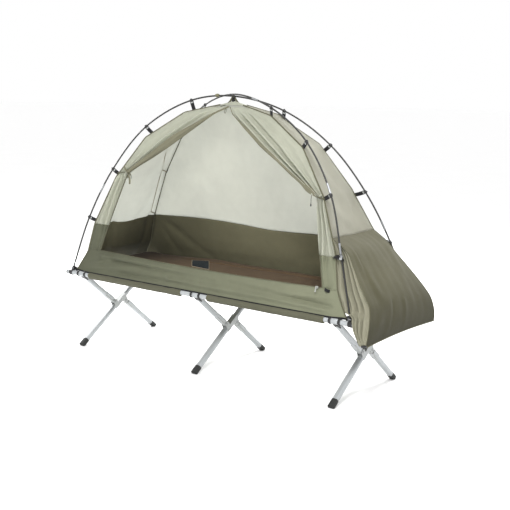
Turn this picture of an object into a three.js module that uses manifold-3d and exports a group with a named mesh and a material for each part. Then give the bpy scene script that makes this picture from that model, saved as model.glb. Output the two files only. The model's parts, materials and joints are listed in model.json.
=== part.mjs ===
// Folding cot with a one-person tent clipped over it, millimetres, +Z up.
// X runs along the bed with the head end at -X, -Y is the door side, and the feet stand on z = 0.
// The origin is on the floor, under the middle of the object's bounding box.
// Two side rails stand on three crossed leg frames. In each frame one leg is straight and the other is
// split in two halves, each pinned to a bracket on the straight leg, so the bed folds shut sideways.

import * as THREE from 'three';
import { mergeVertices } from 'three/addons/utils/BufferGeometryUtils.js';
import Module from 'manifold-3d';

// Driving dimensions of the bed
const GAP = 0.3; // clearance between touching pieces
const RAIL_Y = 290; // rail centre lines stand at +RAIL_Y and -RAIL_Y
const RAIL_Z = 416;
const RAIL_END_X = 948;
const RAIL_RADIUS = 12.5;
const RAIL_BORE = 11;
const LEG_FRAME_X = { head: -835, mid: 0, foot: 835 };
const LEG_WIDTH = 25; // along X
const LEG_DEPTH = 20; // across the leg, in the plane of its frame
const LEG_WALL = 1.6;
const CROSSING_Z = 215; // the straight leg passes this height at y = 0
const PIN_ALONG = 34; // each pin's distance from the crossing, along the straight leg
const PIN_ACROSS = 27; // and square to it
const FOOT_Y = 300; // where a split leg's axis ends, just above the floor
const FOOT_Z = 5;

// Driving dimensions of the poles and the tent
const POLE_RADIUS = 4.25;
const SHEET = 2; // thickness of the fabric solids
const SLOPE_Y = 287 / 912; // the corner seams lie in upright diagonal planes, y = SLOPE_Y * x
const WALL_FOOT_Z = 434;
const TUB_TOP_Z = 706; // top of the dark lower band on the back and the head end
const POUCH_TOP_Z = 776; // top of the dark cloth on the foot end
const WALL_TOP_Z = 1376;
const CROWN_Z = 1389;
const SILL = { xLeft: -810, zLeft: 562, xRight: 826, zRight: 556 }; // the straight zip under the door
const ZIP_START_X = 715;

// Half length of the tent at each height: a corner seam's distance from the middle, along X
const SEAM = [[430, 892], [545, 820], [712, 776], [970, 650], [1192, 480], [1332, 262], [1383, 40]];
// How much further out the front seam of the foot end lies
const SEAM_SLACK = [[430, 0], [545, 5], [712, 30], [970, 62], [1192, 75], [1332, 50], [1383, 8]];
// The door's two edges, [z, x], from the sill up through the tie-back to the top
const DOOR_LEFT = [[SILL.zLeft, -720], [1000, -560], [1366, 8]];
const DOOR_RIGHT = [[SILL.zRight, 740], [972, 677], [1366, 12]];
// The foot pouch's front and back folds, [z, x, half width in y]
const POUCH_FRONT = [[331, 1003, 325], [362, 1012, 324], [434, 1026, 316], [512, 1022, 308],
  [580, 996, 299], [668, 950, 282], [721, 908, 272], [772, 808, 250]];
const POUCH_BACK = [[331, 1038, 325], [362, 1044, 324], [434, 1032, 316], [512, 975, 303],
  [580, 900, 284], [668, 822, 250], [721, 786, 241], [772, 762, 238]];
// The inner edge of the pouch's gusset, which stays clear of the rail end: [z, x, y]
const GUSSET_EDGE = [[331, 985, 318], [430, 966, 296], [450, 950, 282], [490, 868, 266],
  [545, 830, 256], [772, 772, 241]];
const GUSSET_TUCK = 14; // how far a gusset folds in behind its pole
const GUSSET_TUCKED = [[331, 0], [434, 0.3], [480, 1], [620, 1], [668, 0.3], [772, 0]]; // at each height
const POUCH_CROWN = 16; // how far the pouch bulges beyond its folds
const POUCH_CROWNED = [[331, 0.2], [400, 1], [560, 0.8], [772, 0]]; // at each height
const CAP_FLANGE = 5;

const RAIL_CAP_X = RAIL_END_X + GAP + CAP_FLANGE;

const wasm = await Module();
wasm.setup();

// --- materials ---------------------------------------------------------------------------------

function standard(color, roughness, metalness) {
  return () => new THREE.MeshStandardMaterial({ color, roughness, metalness });
}

const finish = {
  aluminium: standard(0xc9ccd0, 0.32, 0.9),
  castGrey: standard(0x9a958a, 0.55, 0.3),
  blackPlastic: standard(0x23241f, 0.55, 0),
  rubber: standard(0x2b2c2b, 0.85, 0),
  fibreglass: standard(0x3a3d3d, 0.35, 0.1),
  lightCloth: standard(0xb3ad99, 0.8, 0),
  oliveCloth: standard(0x55523f, 0.8, 0),
  skirtCloth: standard(0x6b6856, 0.8, 0),
  slingCloth: standard(0x4f4e3d, 0.85, 0),
  padCloth: standard(0x5f4636, 0.85, 0),
  zipMetal: standard(0xd8d8d4, 0.4, 0.6),
};

// --- joining and cutting -----------------------------------------------------------------------

function toManifold(geometry, matrix) {
  const plain = (geometry.index ? geometry : geometry.clone()).clone();
  plain.deleteAttribute('normal');
  plain.deleteAttribute('uv');
  if (matrix) plain.applyMatrix4(matrix);
  const merged = mergeVertices(plain, 1e-4);
  return new wasm.Manifold(new wasm.Mesh({
    numProp: 3,
    vertProperties: new Float32Array(merged.attributes.position.array),
    triVerts: new Uint32Array(merged.index.array),
  }));
}

function fromManifold(solid) {
  const mesh = solid.getMesh();
  const geometry = new THREE.BufferGeometry();
  geometry.setAttribute('position', new THREE.BufferAttribute(mesh.vertProperties, 3));
  geometry.setIndex(new THREE.BufferAttribute(mesh.triVerts, 1));
  geometry.computeVertexNormals();
  return geometry;
}

// A box between two corners, as a solid for joining and cutting
function block([x0, y0, z0], [x1, y1, z1]) {
  const box = new THREE.BoxGeometry(x1 - x0, y1 - y0, z1 - z0);
  const move = new THREE.Matrix4().makeTranslation((x0 + x1) / 2, (y0 + y1) / 2, (z0 + z1) / 2);
  return toManifold(box, move);
}

// A rod along X from x0 to x1, centred on (y, z)
function rodX(radius, x0, x1, y, z, sides = 18) {
  const rod = new THREE.CylinderGeometry(radius, radius, x1 - x0, sides);
  const turn = new THREE.Matrix4().makeRotationZ(-Math.PI / 2);
  const move = new THREE.Matrix4().makeTranslation((x0 + x1) / 2, y, z);
  return toManifold(rod, move.multiply(turn));
}

// --- plain shapes ------------------------------------------------------------------------------

function ovalSection(width, depth, radius) {
  const [w, d] = [width / 2, depth / 2];
  const shape = new THREE.Shape();
  shape.moveTo(w - radius, -d);
  shape.absarc(w - radius, -d + radius, radius, -Math.PI / 2, 0);
  shape.absarc(w - radius, d - radius, radius, 0, Math.PI / 2);
  shape.absarc(-w + radius, d - radius, radius, Math.PI / 2, Math.PI);
  shape.absarc(-w + radius, -d + radius, radius, Math.PI, Math.PI * 1.5);
  shape.closePath();
  return shape;
}

// A hollow leg tube along local Z, from z0 to z1
function legTube(z0, z1) {
  const shape = ovalSection(LEG_WIDTH, LEG_DEPTH, 7);
  shape.holes.push(ovalSection(LEG_WIDTH - 2 * LEG_WALL, LEG_DEPTH - 2 * LEG_WALL, 5.5));
  const tube = new THREE.ExtrudeGeometry(shape, { depth: z1 - z0, bevelEnabled: false, curveSegments: 3 });
  return tube.translate(0, 0, z0);
}

// A round tube along X, open at both ends
function railTube(x0, x1) {
  const profile = [[RAIL_BORE, x0], [RAIL_RADIUS, x0], [RAIL_RADIUS, x1], [RAIL_BORE, x1], [RAIL_BORE, x0]];
  const points = profile.map(([r, x]) => new THREE.Vector2(r, x));
  return new THREE.LatheGeometry(points, 18).rotateZ(-Math.PI / 2);
}

// Straight-line reading of a table whose first column rises; column picks the value to read
function read(table, at, column = 1) {
  const last = table.length - 1;
  let i = 0;
  while (i < last - 1 && at > table[i + 1][0]) i += 1;
  const [low, high] = [table[i], table[i + 1]];
  const t = THREE.MathUtils.clamp((at - low[0]) / (high[0] - low[0]), 0, 1);
  return low[column] + (high[column] - low[column]) * t;
}

// A closed sheet of fabric. place(u, v) gives the outer surface, and the inner surface lies SHEET
// nearer to the centre, so that neighbouring panels share the same slanted joint face.
function sheetSolid(place, across, along, centre) {
  const columns = across.length;
  const positions = [];
  for (const depth of [0, SHEET]) {
    for (const v of along) {
      for (const u of across) {
        const outer = place(u, v);
        const inward = new THREE.Vector3().subVectors(centre, outer).normalize();
        positions.push(...outer.clone().addScaledVector(inward, depth).toArray());
      }
    }
  }
  const layer = columns * along.length;
  const index = [];
  const quad = (a, b, c, d) => index.push(a, b, c, a, c, d);
  for (let j = 0; j < along.length - 1; j += 1) {
    for (let i = 0; i < columns - 1; i += 1) {
      const a = j * columns + i;
      quad(a, a + 1, a + columns + 1, a + columns);
      quad(layer + a, layer + a + columns, layer + a + columns + 1, layer + a + 1);
    }
  }
  for (let i = 0; i < columns - 1; i += 1) {
    const top = (along.length - 1) * columns + i;
    quad(i, layer + i, layer + i + 1, i + 1);
    quad(top, top + 1, layer + top + 1, layer + top);
  }
  for (let j = 0; j < along.length - 1; j += 1) {
    const left = j * columns;
    const right = left + columns - 1;
    quad(left, left + columns, layer + left + columns, layer + left);
    quad(right, layer + right, layer + right + columns, right + columns);
  }
  const geometry = new THREE.BufferGeometry();
  geometry.setAttribute('position', new THREE.Float32BufferAttribute(positions, 3));
  geometry.setIndex(index);
  geometry.computeVertexNormals();
  return geometry;
}

function steps(from, to, count) {
  return Array.from({ length: count + 1 }, (_, i) => from + ((to - from) * i) / count);
}

// --- the model ---------------------------------------------------------------------------------

const cot = new THREE.Group();

function add(parent, name, geometry, material) {
  const mesh = new THREE.Mesh(geometry, material());
  mesh.name = name;
  parent.add(mesh);
}

// A group whose local Z runs from one (y, z) point towards another
function alongLeg(x, from, to) {
  const group = new THREE.Group();
  const angle = Math.atan2(to[1] - from[1], to[0] - from[0]);
  group.position.set(x, from[0], from[1]);
  group.rotation.x = angle - Math.PI / 2;
  cot.add(group);
  return group;
}

// --- rails -------------------------------------------------------------------------------------

function railEndCap(side) {
  const inner = side * (RAIL_END_X - 26);
  const face = side * (RAIL_END_X + GAP);
  const plug = rodX(RAIL_BORE - GAP, Math.min(inner, face), Math.max(inner, face), 0, 0);
  const outer = side * RAIL_CAP_X;
  const flange = rodX(14.5, Math.min(face, outer), Math.max(face, outer), 0, 0);
  return fromManifold(plug.add(flange));
}

// The pole socket is a collar on the rail with a boss that leans along the pole
function poleSocket(xSide, ySide) {
  const collar = rodX(15.6, -11, 11, 0, 0);
  const lean = new THREE.Vector3(-xSide * 0.34, -ySide * 0.11, 1).normalize();
  const turn = new THREE.Quaternion().setFromUnitVectors(new THREE.Vector3(0, 1, 0), lean);
  const boss = (radius, low, high) => {
    const rod = new THREE.CylinderGeometry(radius, radius, high - low, 10);
    const middle = lean.clone().multiplyScalar((low + high) / 2);
    return toManifold(rod, new THREE.Matrix4().compose(middle, turn, new THREE.Vector3(1, 1, 1)));
  };
  const solid = collar.add(boss(9, 10, 36)).subtract(rodX(13, -20, 20, 0, 0));
  return fromManifold(solid.subtract(boss(POLE_RADIUS + 2.6, 16.6, 40)));
}

const SOCKET_X = 919;
for (const [yName, ySide] of [['front', -1], ['back', 1]]) {
  const rail = new THREE.Group();
  rail.position.set(0, ySide * RAIL_Y, RAIL_Z);
  cot.add(rail);
  for (const [xName, xSide] of [['head', -1], ['foot', 1]]) {
    const [near, far] = [xSide * 0.5, xSide * RAIL_END_X];
    const tube = railTube(Math.min(near, far), Math.max(near, far));
    add(rail, `rail_${yName}_${xName}`, tube, finish.aluminium);
    add(rail, `rail_cap_${yName}_${xName}`, railEndCap(xSide), finish.blackPlastic);
    const socket = poleSocket(xSide, ySide).translate(xSide * SOCKET_X, 0, 0);
    add(rail, `pole_socket_${yName}_${xName}`, socket, finish.blackPlastic);
  }
}

// --- leg frames --------------------------------------------------------------------------------

const CLAMP_REACH = 48; // how far a rail clamp's socket reaches down the leg
const TUBE_SHY = 19; // a leg tube stops this far short of the rail's centre
const BLOCK_START = 22; // a hinge block's thick sleeve starts this far from its pin
const BLOCK_END = 90;
const FOOT_SHY = 17; // a leg tube stops this far short of the end of its rubber foot

// The clamp that holds a leg's top on its rail, with the rail at the origin and the leg along -Z
function railClamp() {
  const collar = rodX(16.5, -32, 32, 0, 0);
  const socket = block([-15.3, -13, -CLAMP_REACH], [15.3, 13, -8]);
  const legHole = block([-12.8, -10.3, -CLAMP_REACH - 1], [12.8, 10.3, -TUBE_SHY + GAP]);
  return fromManifold(collar.add(socket).subtract(legHole).subtract(rodX(13, -33, 33, 0, 0)));
}

// The bracket round the straight leg at the crossing, with its two riveted pins
function crossBracket() {
  let bracket = block([-15.8, -13.3, -52], [15.8, 13.3, 52]);
  for (const side of [-1, 1]) {
    const [y, z] = [side * PIN_ACROSS, side * PIN_ALONG];
    const near = side * 10;
    const cheek = block([-15.8, Math.min(near, y), z - 15], [15.8, Math.max(near, y), z + 15]);
    bracket = bracket.add(cheek).add(rodX(15, -15.8, 15.8, y, z));
  }
  for (const side of [-1, 1]) {
    const [y, z] = [side * PIN_ACROSS, side * PIN_ALONG];
    const [low, high] = [Math.min(side * 13.3, side * 60), Math.max(side * 13.3, side * 60)];
    bracket = bracket.subtract(block([-12.8, low, z - 40], [12.8, high, z + 40]));
    bracket = bracket.add(rodX(4, -18.5, 18.5, y, z, 10));
    for (const end of [-1, 1]) {
      const [x0, x1] = [Math.min(end * 15.8, end * 18.5), Math.max(end * 15.8, end * 18.5)];
      bracket = bracket.add(rodX(6.5, x0, x1, y, z, 10));
    }
  }
  return fromManifold(bracket.subtract(block([-12.8, -10.3, -60], [12.8, 10.3, 60])));
}

// The cast end of a half leg: a tongue bored for the pin at the origin, and a sleeve for the tube
function hingeBlock() {
  const tongue = rodX(12, -12.3, 12.3, 0, 0).add(block([-12.3, -11, 0], [12.3, 11, BLOCK_START + 2]));
  const sleeve = block([-15.3, -12.8, BLOCK_START], [15.3, 12.8, BLOCK_END]);
  const tubeHole = block([-12.8, -10.3, BLOCK_START + 8], [12.8, 10.3, BLOCK_END + 1]);
  return fromManifold(tongue.add(sleeve).subtract(tubeHole).subtract(rodX(4.7, -20, 20, 0, 0, 10)));
}

// A rubber cap over a leg's low end, cut level with the floor. The leg ends at `end` (y, z), and
// direction points down the leg.
function rubberFoot(end, direction) {
  const shell = new THREE.ExtrudeGeometry(ovalSection(32, 28, 9), {
    depth: 46, bevelEnabled: false, curveSegments: 3,
  });
  const bore = new THREE.ExtrudeGeometry(ovalSection(LEG_WIDTH + 2 * GAP, LEG_DEPTH + 2 * GAP, 7), {
    depth: 60, bevelEnabled: false, curveSegments: 3,
  });
  const angle = Math.atan2(direction[1], direction[0]);
  const turn = new THREE.Matrix4().makeRotationX(angle - Math.PI / 2);
  const place = (back) => new THREE.Matrix4()
    .makeTranslation(0, end[0] - direction[0] * back, end[1] - direction[1] * back).multiply(turn);
  const floorCut = block([-60, end[0] - 80, -60], [60, end[0] + 80, 0]);
  return fromManifold(toManifold(shell, place(46)).subtract(toManifold(bore, place(FOOT_SHY - GAP + 60))).subtract(floorCut));
}

const legLength = Math.hypot(RAIL_Y, RAIL_Z - CROSSING_Z);
const uphill = [RAIL_Y / legLength, (RAIL_Z - CROSSING_Z) / legLength]; // along the straight leg, (y, z)
const across = [-uphill[1], uphill[0]];
const pinAt = (side) => [
  -side * PIN_ALONG * uphill[0] + side * PIN_ACROSS * across[0],
  CROSSING_Z - side * PIN_ALONG * uphill[1] + side * PIN_ACROSS * across[1],
];
const upperPin = pinAt(1);
const lowerPin = pinAt(-1);
const straightFootReach = (CROSSING_Z - FOOT_Z) / uphill[1]; // from the crossing down to the leg's end
const straightFoot = [-straightFootReach * uphill[0], FOOT_Z];

for (const [name, x] of Object.entries(LEG_FRAME_X)) {
  const straight = alongLeg(x, [0, CROSSING_Z], [RAIL_Y, RAIL_Z]);
  const straightTube = legTube(-straightFootReach + FOOT_SHY, legLength - TUBE_SHY);
  add(straight, `straight_leg_${name}`, straightTube, finish.aluminium);
  add(straight, `cross_bracket_${name}`, crossBracket(), finish.castGrey);
  const backClamp = railClamp().translate(0, 0, legLength);
  add(straight, `rail_clamp_back_${name}`, backClamp, finish.blackPlastic);

  const upper = alongLeg(x, upperPin, [-RAIL_Y, RAIL_Z]);
  const upperLength = Math.hypot(-RAIL_Y - upperPin[0], RAIL_Z - upperPin[1]);
  add(upper, `upper_half_leg_${name}`, legTube(BLOCK_START + 9, upperLength - TUBE_SHY), finish.aluminium);
  add(upper, `upper_hinge_block_${name}`, hingeBlock(), finish.castGrey);
  const frontClamp = railClamp().translate(0, 0, upperLength);
  add(upper, `rail_clamp_front_${name}`, frontClamp, finish.blackPlastic);

  const lower = alongLeg(x, lowerPin, [FOOT_Y, FOOT_Z]);
  const lowerLength = Math.hypot(FOOT_Y - lowerPin[0], FOOT_Z - lowerPin[1]);
  add(lower, `lower_half_leg_${name}`, legTube(BLOCK_START + 9, lowerLength - FOOT_SHY), finish.aluminium);
  add(lower, `lower_hinge_block_${name}`, hingeBlock(), finish.castGrey);

  const standing = new THREE.Group();
  standing.position.x = x;
  cot.add(standing);
  const frontFoot = rubberFoot(straightFoot, [-uphill[0], -uphill[1]]);
  add(standing, `foot_front_${name}`, frontFoot, finish.rubber);
  const down = [(FOOT_Y - lowerPin[0]) / lowerLength, (FOOT_Z - lowerPin[1]) / lowerLength];
  add(standing, `foot_back_${name}`, rubberFoot([FOOT_Y, FOOT_Z], down), finish.rubber);
}

// --- bed sling and pad -------------------------------------------------------------------------

// The sling is one cloth whose long edges wrap the rails, with windows where the middle legs clamp on
function bedSling() {
  const [inner, outer] = [RAIL_RADIUS + 1, RAIL_RADIUS + 1 + SHEET];
  const shape = new THREE.Shape();
  const sag = 6;
  const wrap = Math.PI * 0.4; // how far the cloth goes on under the rail
  shape.moveTo(RAIL_Y, outer);
  shape.absarc(RAIL_Y, 0, outer, Math.PI / 2, -Math.PI / 2 - wrap, true);
  shape.absarc(RAIL_Y, 0, inner, -Math.PI / 2 - wrap, Math.PI / 2, false);
  shape.quadraticCurveTo(0, inner - sag, -RAIL_Y, inner);
  shape.absarc(-RAIL_Y, 0, inner, Math.PI / 2, Math.PI * 1.5 + wrap, false);
  shape.absarc(-RAIL_Y, 0, outer, Math.PI * 1.5 + wrap, Math.PI / 2, true);
  shape.quadraticCurveTo(0, outer - sag, RAIL_Y, outer);
  const cloth = new THREE.ExtrudeGeometry(shape, { depth: 777 * 2, bevelEnabled: false, curveSegments: 10 });
  // the shape's x is the bed's y and its y is height
  const basis = new THREE.Matrix4().makeBasis(
    new THREE.Vector3(0, 1, 0), new THREE.Vector3(0, 0, 1), new THREE.Vector3(1, 0, 0),
  );
  const place = new THREE.Matrix4().makeTranslation(-777, 0, RAIL_Z).multiply(basis);
  let sling = toManifold(cloth, place);
  for (const side of [-1, 1]) {
    const [y0, y1] = [Math.min(side * 262, side * 320), Math.max(side * 262, side * 320)];
    sling = sling.subtract(block([-90, y0, RAIL_Z - 30], [78, y1, RAIL_Z + 30]));
  }
  return fromManifold(sling);
}

add(cot, 'bed_sling', bedSling(), finish.slingCloth);

function sleepingPad() {
  const outline = ovalSection(1660, 480, 40);
  const slab = new THREE.ExtrudeGeometry(outline, {
    depth: 34, bevelEnabled: true, bevelThickness: 8, bevelSize: 8, bevelSegments: 2, curveSegments: 5,
  });
  return slab.translate(0, 0, 443);
}

add(cot, 'sleeping_pad', sleepingPad(), finish.padCloth);

// --- poles -------------------------------------------------------------------------------------

// Both poles rise in upright diagonal planes: [x, z] along pole A from the head's front corner, and
// along pole B from the head's back corner, which passes over pole A at the crown
const POLE_A = [[-914, 434], [-809, 739], [-667, 1014], [-476, 1250], [-228, 1394], [0, 1421],
  [265, 1352], [500, 1188], [679, 962], [810, 715], [914, 434]];
const POLE_B = [[-914, 434], [-805, 736], [-690, 1005], [-500, 1215], [-263, 1368], [0, 1430.5],
  [312, 1370], [580, 1221], [759, 988], [841, 714], [914, 434]];
const POLE_STEPS = 44;

function pole(points, ySlope) {
  const route = points.map(([x, z]) => new THREE.Vector3(x, ySlope * x, z));
  const section = new THREE.Shape(new THREE.EllipseCurve(0, 0, POLE_RADIUS, POLE_RADIUS).getPoints(8).slice(1));
  return new THREE.ExtrudeGeometry(section, {
    steps: POLE_STEPS, extrudePath: new THREE.CatmullRomCurve3(route), bevelEnabled: false,
  });
}

add(cot, 'pole_a', pole(POLE_A, SLOPE_Y), finish.fibreglass);
add(cot, 'pole_b', pole(POLE_B, -SLOPE_Y), finish.fibreglass);
add(cot, 'crown_tie', new THREE.CylinderGeometry(7, 9, 21, 12).rotateX(Math.PI / 2).translate(0, 0, 1404),
  finish.blackPlastic);

// --- tent walls --------------------------------------------------------------------------------

const TENT_CENTRE = new THREE.Vector3(0, 0, 620);
const seamX = (z) => read(SEAM, z);
const frontFootSeamX = (z) => seamX(z) + read(SEAM_SLACK, z);
const corner = {
  frontHead: (z) => new THREE.Vector3(-seamX(z), -SLOPE_Y * seamX(z), z),
  frontFoot: (z) => new THREE.Vector3(frontFootSeamX(z), -SLOPE_Y * frontFootSeamX(z), z),
  backFoot: (z) => new THREE.Vector3(seamX(z), SLOPE_Y * seamX(z), z),
  backHead: (z) => new THREE.Vector3(-seamX(z), SLOPE_Y * seamX(z), z),
};

// A point of the front wall at a length x and a height z
function frontWall(x, z) {
  const [left, right] = [corner.frontHead(z), corner.frontFoot(z)];
  const t = (x - left.x) / (right.x - left.x);
  return new THREE.Vector3(x, left.y + (right.y - left.y) * t, z);
}

// Heights from low to high, with a row at every bend of the corner seams
function rows(low, high) {
  const bends = SEAM.map(([z]) => z).filter((z) => z > low + 8 && z < high - 8);
  const marks = [low, ...bends, high];
  return marks.flatMap((z, i) => (i ? [(marks[i - 1] + z) / 2, z] : [z]));
}

// A panel between two corner seams, seen from outside with `first` on the left
function wall(first, second, low, high) {
  const place = (u, z) => {
    const [a, b] = [first(z), second(z)];
    const inset = GAP / a.distanceTo(b);
    return a.lerp(b, inset + (1 - 2 * inset) * u);
  };
  return sheetSolid(place, steps(0, 1, 4), rows(low, high), TENT_CENTRE);
}

const SEAM_GAP = 0.6;
const bands = {
  back: [corner.backFoot, corner.backHead, TUB_TOP_Z],
  head: [corner.backHead, corner.frontHead, TUB_TOP_Z],
};
for (const [name, [first, second, split]] of Object.entries(bands)) {
  add(cot, `${name}_wall_lower`, wall(first, second, WALL_FOOT_Z, split), finish.oliveCloth);
  add(cot, `${name}_wall_upper`, wall(first, second, split + SEAM_GAP, WALL_TOP_Z), finish.lightCloth);
}
const footWall = wall(corner.frontFoot, corner.backFoot, POUCH_TOP_Z, WALL_TOP_Z);
add(cot, 'foot_wall_upper', footWall, finish.lightCloth);

const sillZ = (x) => THREE.MathUtils.mapLinear(x, SILL.xLeft, SILL.xRight, SILL.zLeft, SILL.zRight);

function frontSkirt() {
  const place = (u, v) => {
    const side = THREE.MathUtils.lerp(-1, 1, u) * (1 - GAP / 800);
    const guess = side < 0 ? side * seamX(500) : side * frontFootSeamX(500);
    const z = THREE.MathUtils.lerp(WALL_FOOT_Z, sillZ(guess), v);
    const [left, right] = [corner.frontHead(z), corner.frontFoot(z)];
    return left.lerp(right, (side + 1) / 2);
  };
  return sheetSolid(place, steps(0, 1, 10), steps(0, 1, 4), TENT_CENTRE);
}

add(cot, 'front_skirt', frontSkirt(), finish.skirtCloth);

// A door flap fills the front wall between a corner seam and the door's edge
function doorFlap(cornerSeam, doorEdge, low, leftToRight) {
  const place = (u, z) => {
    const t = leftToRight ? u : 1 - u;
    const seam = cornerSeam(z).x;
    const edge = read(doorEdge, z);
    const inset = Math.sign(edge - seam) * GAP;
    return frontWall(seam + inset + (edge - seam - inset) * t, z);
  };
  return sheetSolid(place, steps(0, 1, 4), rows(low, 1366), TENT_CENTRE);
}

const headFlap = doorFlap(corner.frontHead, DOOR_LEFT, SILL.zLeft + 2, true);
add(cot, 'door_flap_head', headFlap, finish.lightCloth);
const footFlap = doorFlap(corner.frontFoot, DOOR_RIGHT, SILL.zRight + 2, false);
add(cot, 'door_flap_foot', footFlap, finish.lightCloth);

// The crown closes the roof over the four walls
function crown() {
  const place = (u, v) => {
    const z = WALL_TOP_Z + SEAM_GAP;
    const ring = [corner.frontHead(z), corner.frontFoot(z), corner.backFoot(z), corner.backHead(z)];
    const edge = ring[0].clone().lerp(ring[1], u);
    const far = ring[3].clone().lerp(ring[2], u);
    const point = edge.lerp(far, v);
    const rise = Math.min(u, 1 - u, 0.5) * 2 * Math.min(v, 1 - v, 0.5) * 2;
    point.z += (CROWN_Z - z) * rise;
    return point;
  };
  return sheetSolid(place, steps(0, 1, 4), steps(0, 1, 4), TENT_CENTRE);
}

add(cot, 'tent_crown', crown(), finish.lightCloth);

// --- foot pouch --------------------------------------------------------------------------------

// A hood beyond the foot end: a gusset down each side and one bulging sheet between the two folds
function footPouch() {
  const centre = new THREE.Vector3(840, 0, 500);
  const low = POUCH_FRONT[0][0];
  const gussetShare = 0.2;
  const place = (u, z) => {
    const foldFront = new THREE.Vector3(read(POUCH_FRONT, z), -read(POUCH_FRONT, z, 2), z);
    const foldBack = new THREE.Vector3(read(POUCH_BACK, z), read(POUCH_BACK, z, 2), z);
    if (u < gussetShare || u > 1 - gussetShare) {
      const front = u < gussetShare;
      const t = (front ? u : 1 - u) / gussetShare;
      const side = front ? -1 : 1;
      const point = new THREE.Vector3(read(GUSSET_EDGE, z), side * read(GUSSET_EDGE, z, 2), z);
      point.lerp(front ? foldFront : foldBack, t);
      point.y -= side * GUSSET_TUCK * read(GUSSET_TUCKED, z) * Math.sin(Math.PI * t);
      return point;
    }
    const t = (u - gussetShare) / (1 - 2 * gussetShare);
    const point = foldFront.lerp(foldBack, t);
    point.x += POUCH_CROWN * read(POUCH_CROWNED, z) * Math.sin(Math.PI * t);
    return point;
  };
  const levels = [low, 348, 375, 405, 434, 470, 512, 560, 610, 668, 721, POUCH_TOP_Z - SEAM_GAP - 3];
  const across = [0, 0.1, 0.2, 0.3, 0.4, 0.5, 0.6, 0.7, 0.8, 0.9, 1];
  return sheetSolid(place, across, levels, centre);
}

add(cot, 'foot_pouch', footPouch(), finish.oliveCloth);

// --- door zip ----------------------------------------------------------------------------------

// The zip slider with its pull tab hangs on the outside of the sill and runs along it
function zipSlider() {
  const slider = block([-8, -9, -5], [8, -2, 7]);
  const tab = block([-4, -8.5, -34], [4, -5.5, -4]);
  return fromManifold(slider.add(tab));
}

const zipAt = frontWall(ZIP_START_X, sillZ(ZIP_START_X));
add(cot, 'zip_slider', zipSlider().translate(zipAt.x, zipAt.y, zipAt.z), finish.zipMetal);

// --- tie-back cord -----------------------------------------------------------------------------

// The cord of the foot-end tie-back hangs free from the door's edge, with a toggle on its end
const CORD_ROUTE = [[652.8, -221.2, 984], [647, -221.8, 982.5], [642, -222, 976], [640.5, -222.5, 962],
  [640, -222.5, 945], [639.5, -222.5, 936]];
const CORD_RADIUS = 1.25;

function tieCord() {
  const route = CORD_ROUTE.map((point) => new THREE.Vector3(...point));
  const section = new THREE.Shape(new THREE.EllipseCurve(0, 0, CORD_RADIUS, CORD_RADIUS).getPoints(8).slice(1));
  return new THREE.ExtrudeGeometry(section, {
    steps: 10, extrudePath: new THREE.CatmullRomCurve3(route), bevelEnabled: false,
  });
}

add(cot, 'door_tie_cord', tieCord(), finish.blackPlastic);
const toggle = new THREE.CylinderGeometry(3.2, 2.6, 11, 10).rotateX(Math.PI / 2);
add(cot, 'door_tie_toggle', toggle.translate(639.5, -222.5, 930.2), finish.blackPlastic);

// Every length above is measured from the middle of the bed. The origin is under the middle of the box.
const box = new THREE.Box3().setFromObject(cot, true);
cot.position.x = -(box.min.x + box.max.x) / 2;

export default cot;
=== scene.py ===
"""Folding cot with a one-person tent clipped over it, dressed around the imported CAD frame. Metres, +Z up."""

import json
import math

import bmesh
import bpy
import numpy as np
from mathutils import Matrix, Vector, noise


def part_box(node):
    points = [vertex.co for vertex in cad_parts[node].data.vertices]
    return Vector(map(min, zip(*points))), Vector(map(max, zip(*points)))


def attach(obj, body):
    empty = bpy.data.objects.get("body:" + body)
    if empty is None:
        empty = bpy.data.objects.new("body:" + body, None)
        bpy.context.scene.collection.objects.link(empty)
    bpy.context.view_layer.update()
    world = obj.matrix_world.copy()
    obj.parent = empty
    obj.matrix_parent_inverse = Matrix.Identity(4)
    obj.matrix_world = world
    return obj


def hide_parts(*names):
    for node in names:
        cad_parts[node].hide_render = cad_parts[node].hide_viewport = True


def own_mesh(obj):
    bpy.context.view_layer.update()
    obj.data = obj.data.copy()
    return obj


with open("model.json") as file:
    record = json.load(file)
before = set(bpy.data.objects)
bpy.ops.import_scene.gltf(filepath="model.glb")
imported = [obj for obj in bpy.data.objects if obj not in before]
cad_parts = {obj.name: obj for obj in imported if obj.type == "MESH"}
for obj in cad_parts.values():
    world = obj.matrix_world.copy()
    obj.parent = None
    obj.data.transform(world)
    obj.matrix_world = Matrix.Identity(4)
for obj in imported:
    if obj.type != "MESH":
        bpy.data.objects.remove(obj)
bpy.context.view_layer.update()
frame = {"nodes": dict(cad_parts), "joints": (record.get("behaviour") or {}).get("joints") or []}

# --- places, read from the frame ---


def middle(node):
    low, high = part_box(node)
    return (low + high) / 2


BED_X = middle("straight_leg_mid").x  # the middle of the bed, along X
FRONT_RAIL = middle("rail_front_head")
BACK_RAIL = middle("rail_back_head")
RAIL_RADIUS = (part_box("rail_front_head")[1].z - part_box("rail_front_head")[0].z) / 2
WALL_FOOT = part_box("back_wall_lower")[0].z
TUB_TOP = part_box("back_wall_lower")[1].z
WALL_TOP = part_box("back_wall_upper")[1].z
POUCH_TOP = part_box("foot_wall_upper")[0].z
SHEET = 0.002  # thickness of the CAD's cloth
UP = Vector((0, 0, 1))
CENTRE = Vector((BED_X, 0, 0.62))  # what the cloth's outer side faces away from
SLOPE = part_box("back_wall_lower")[1].y / (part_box("back_wall_lower")[1].x - BED_X)


def at(x, y, z):
    """A point measured from the middle of the bed."""
    return Vector((BED_X + x, y, z))


def lerp(a, b, t):
    return a + (b - a) * t


def clamp(t):
    return min(1.0, max(0.0, t))


def ramp(t, low, high):
    """0 at low, 1 at high and smooth between."""
    t = clamp((t - low) / (high - low))
    return t * t * (3 - 2 * t)


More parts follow.
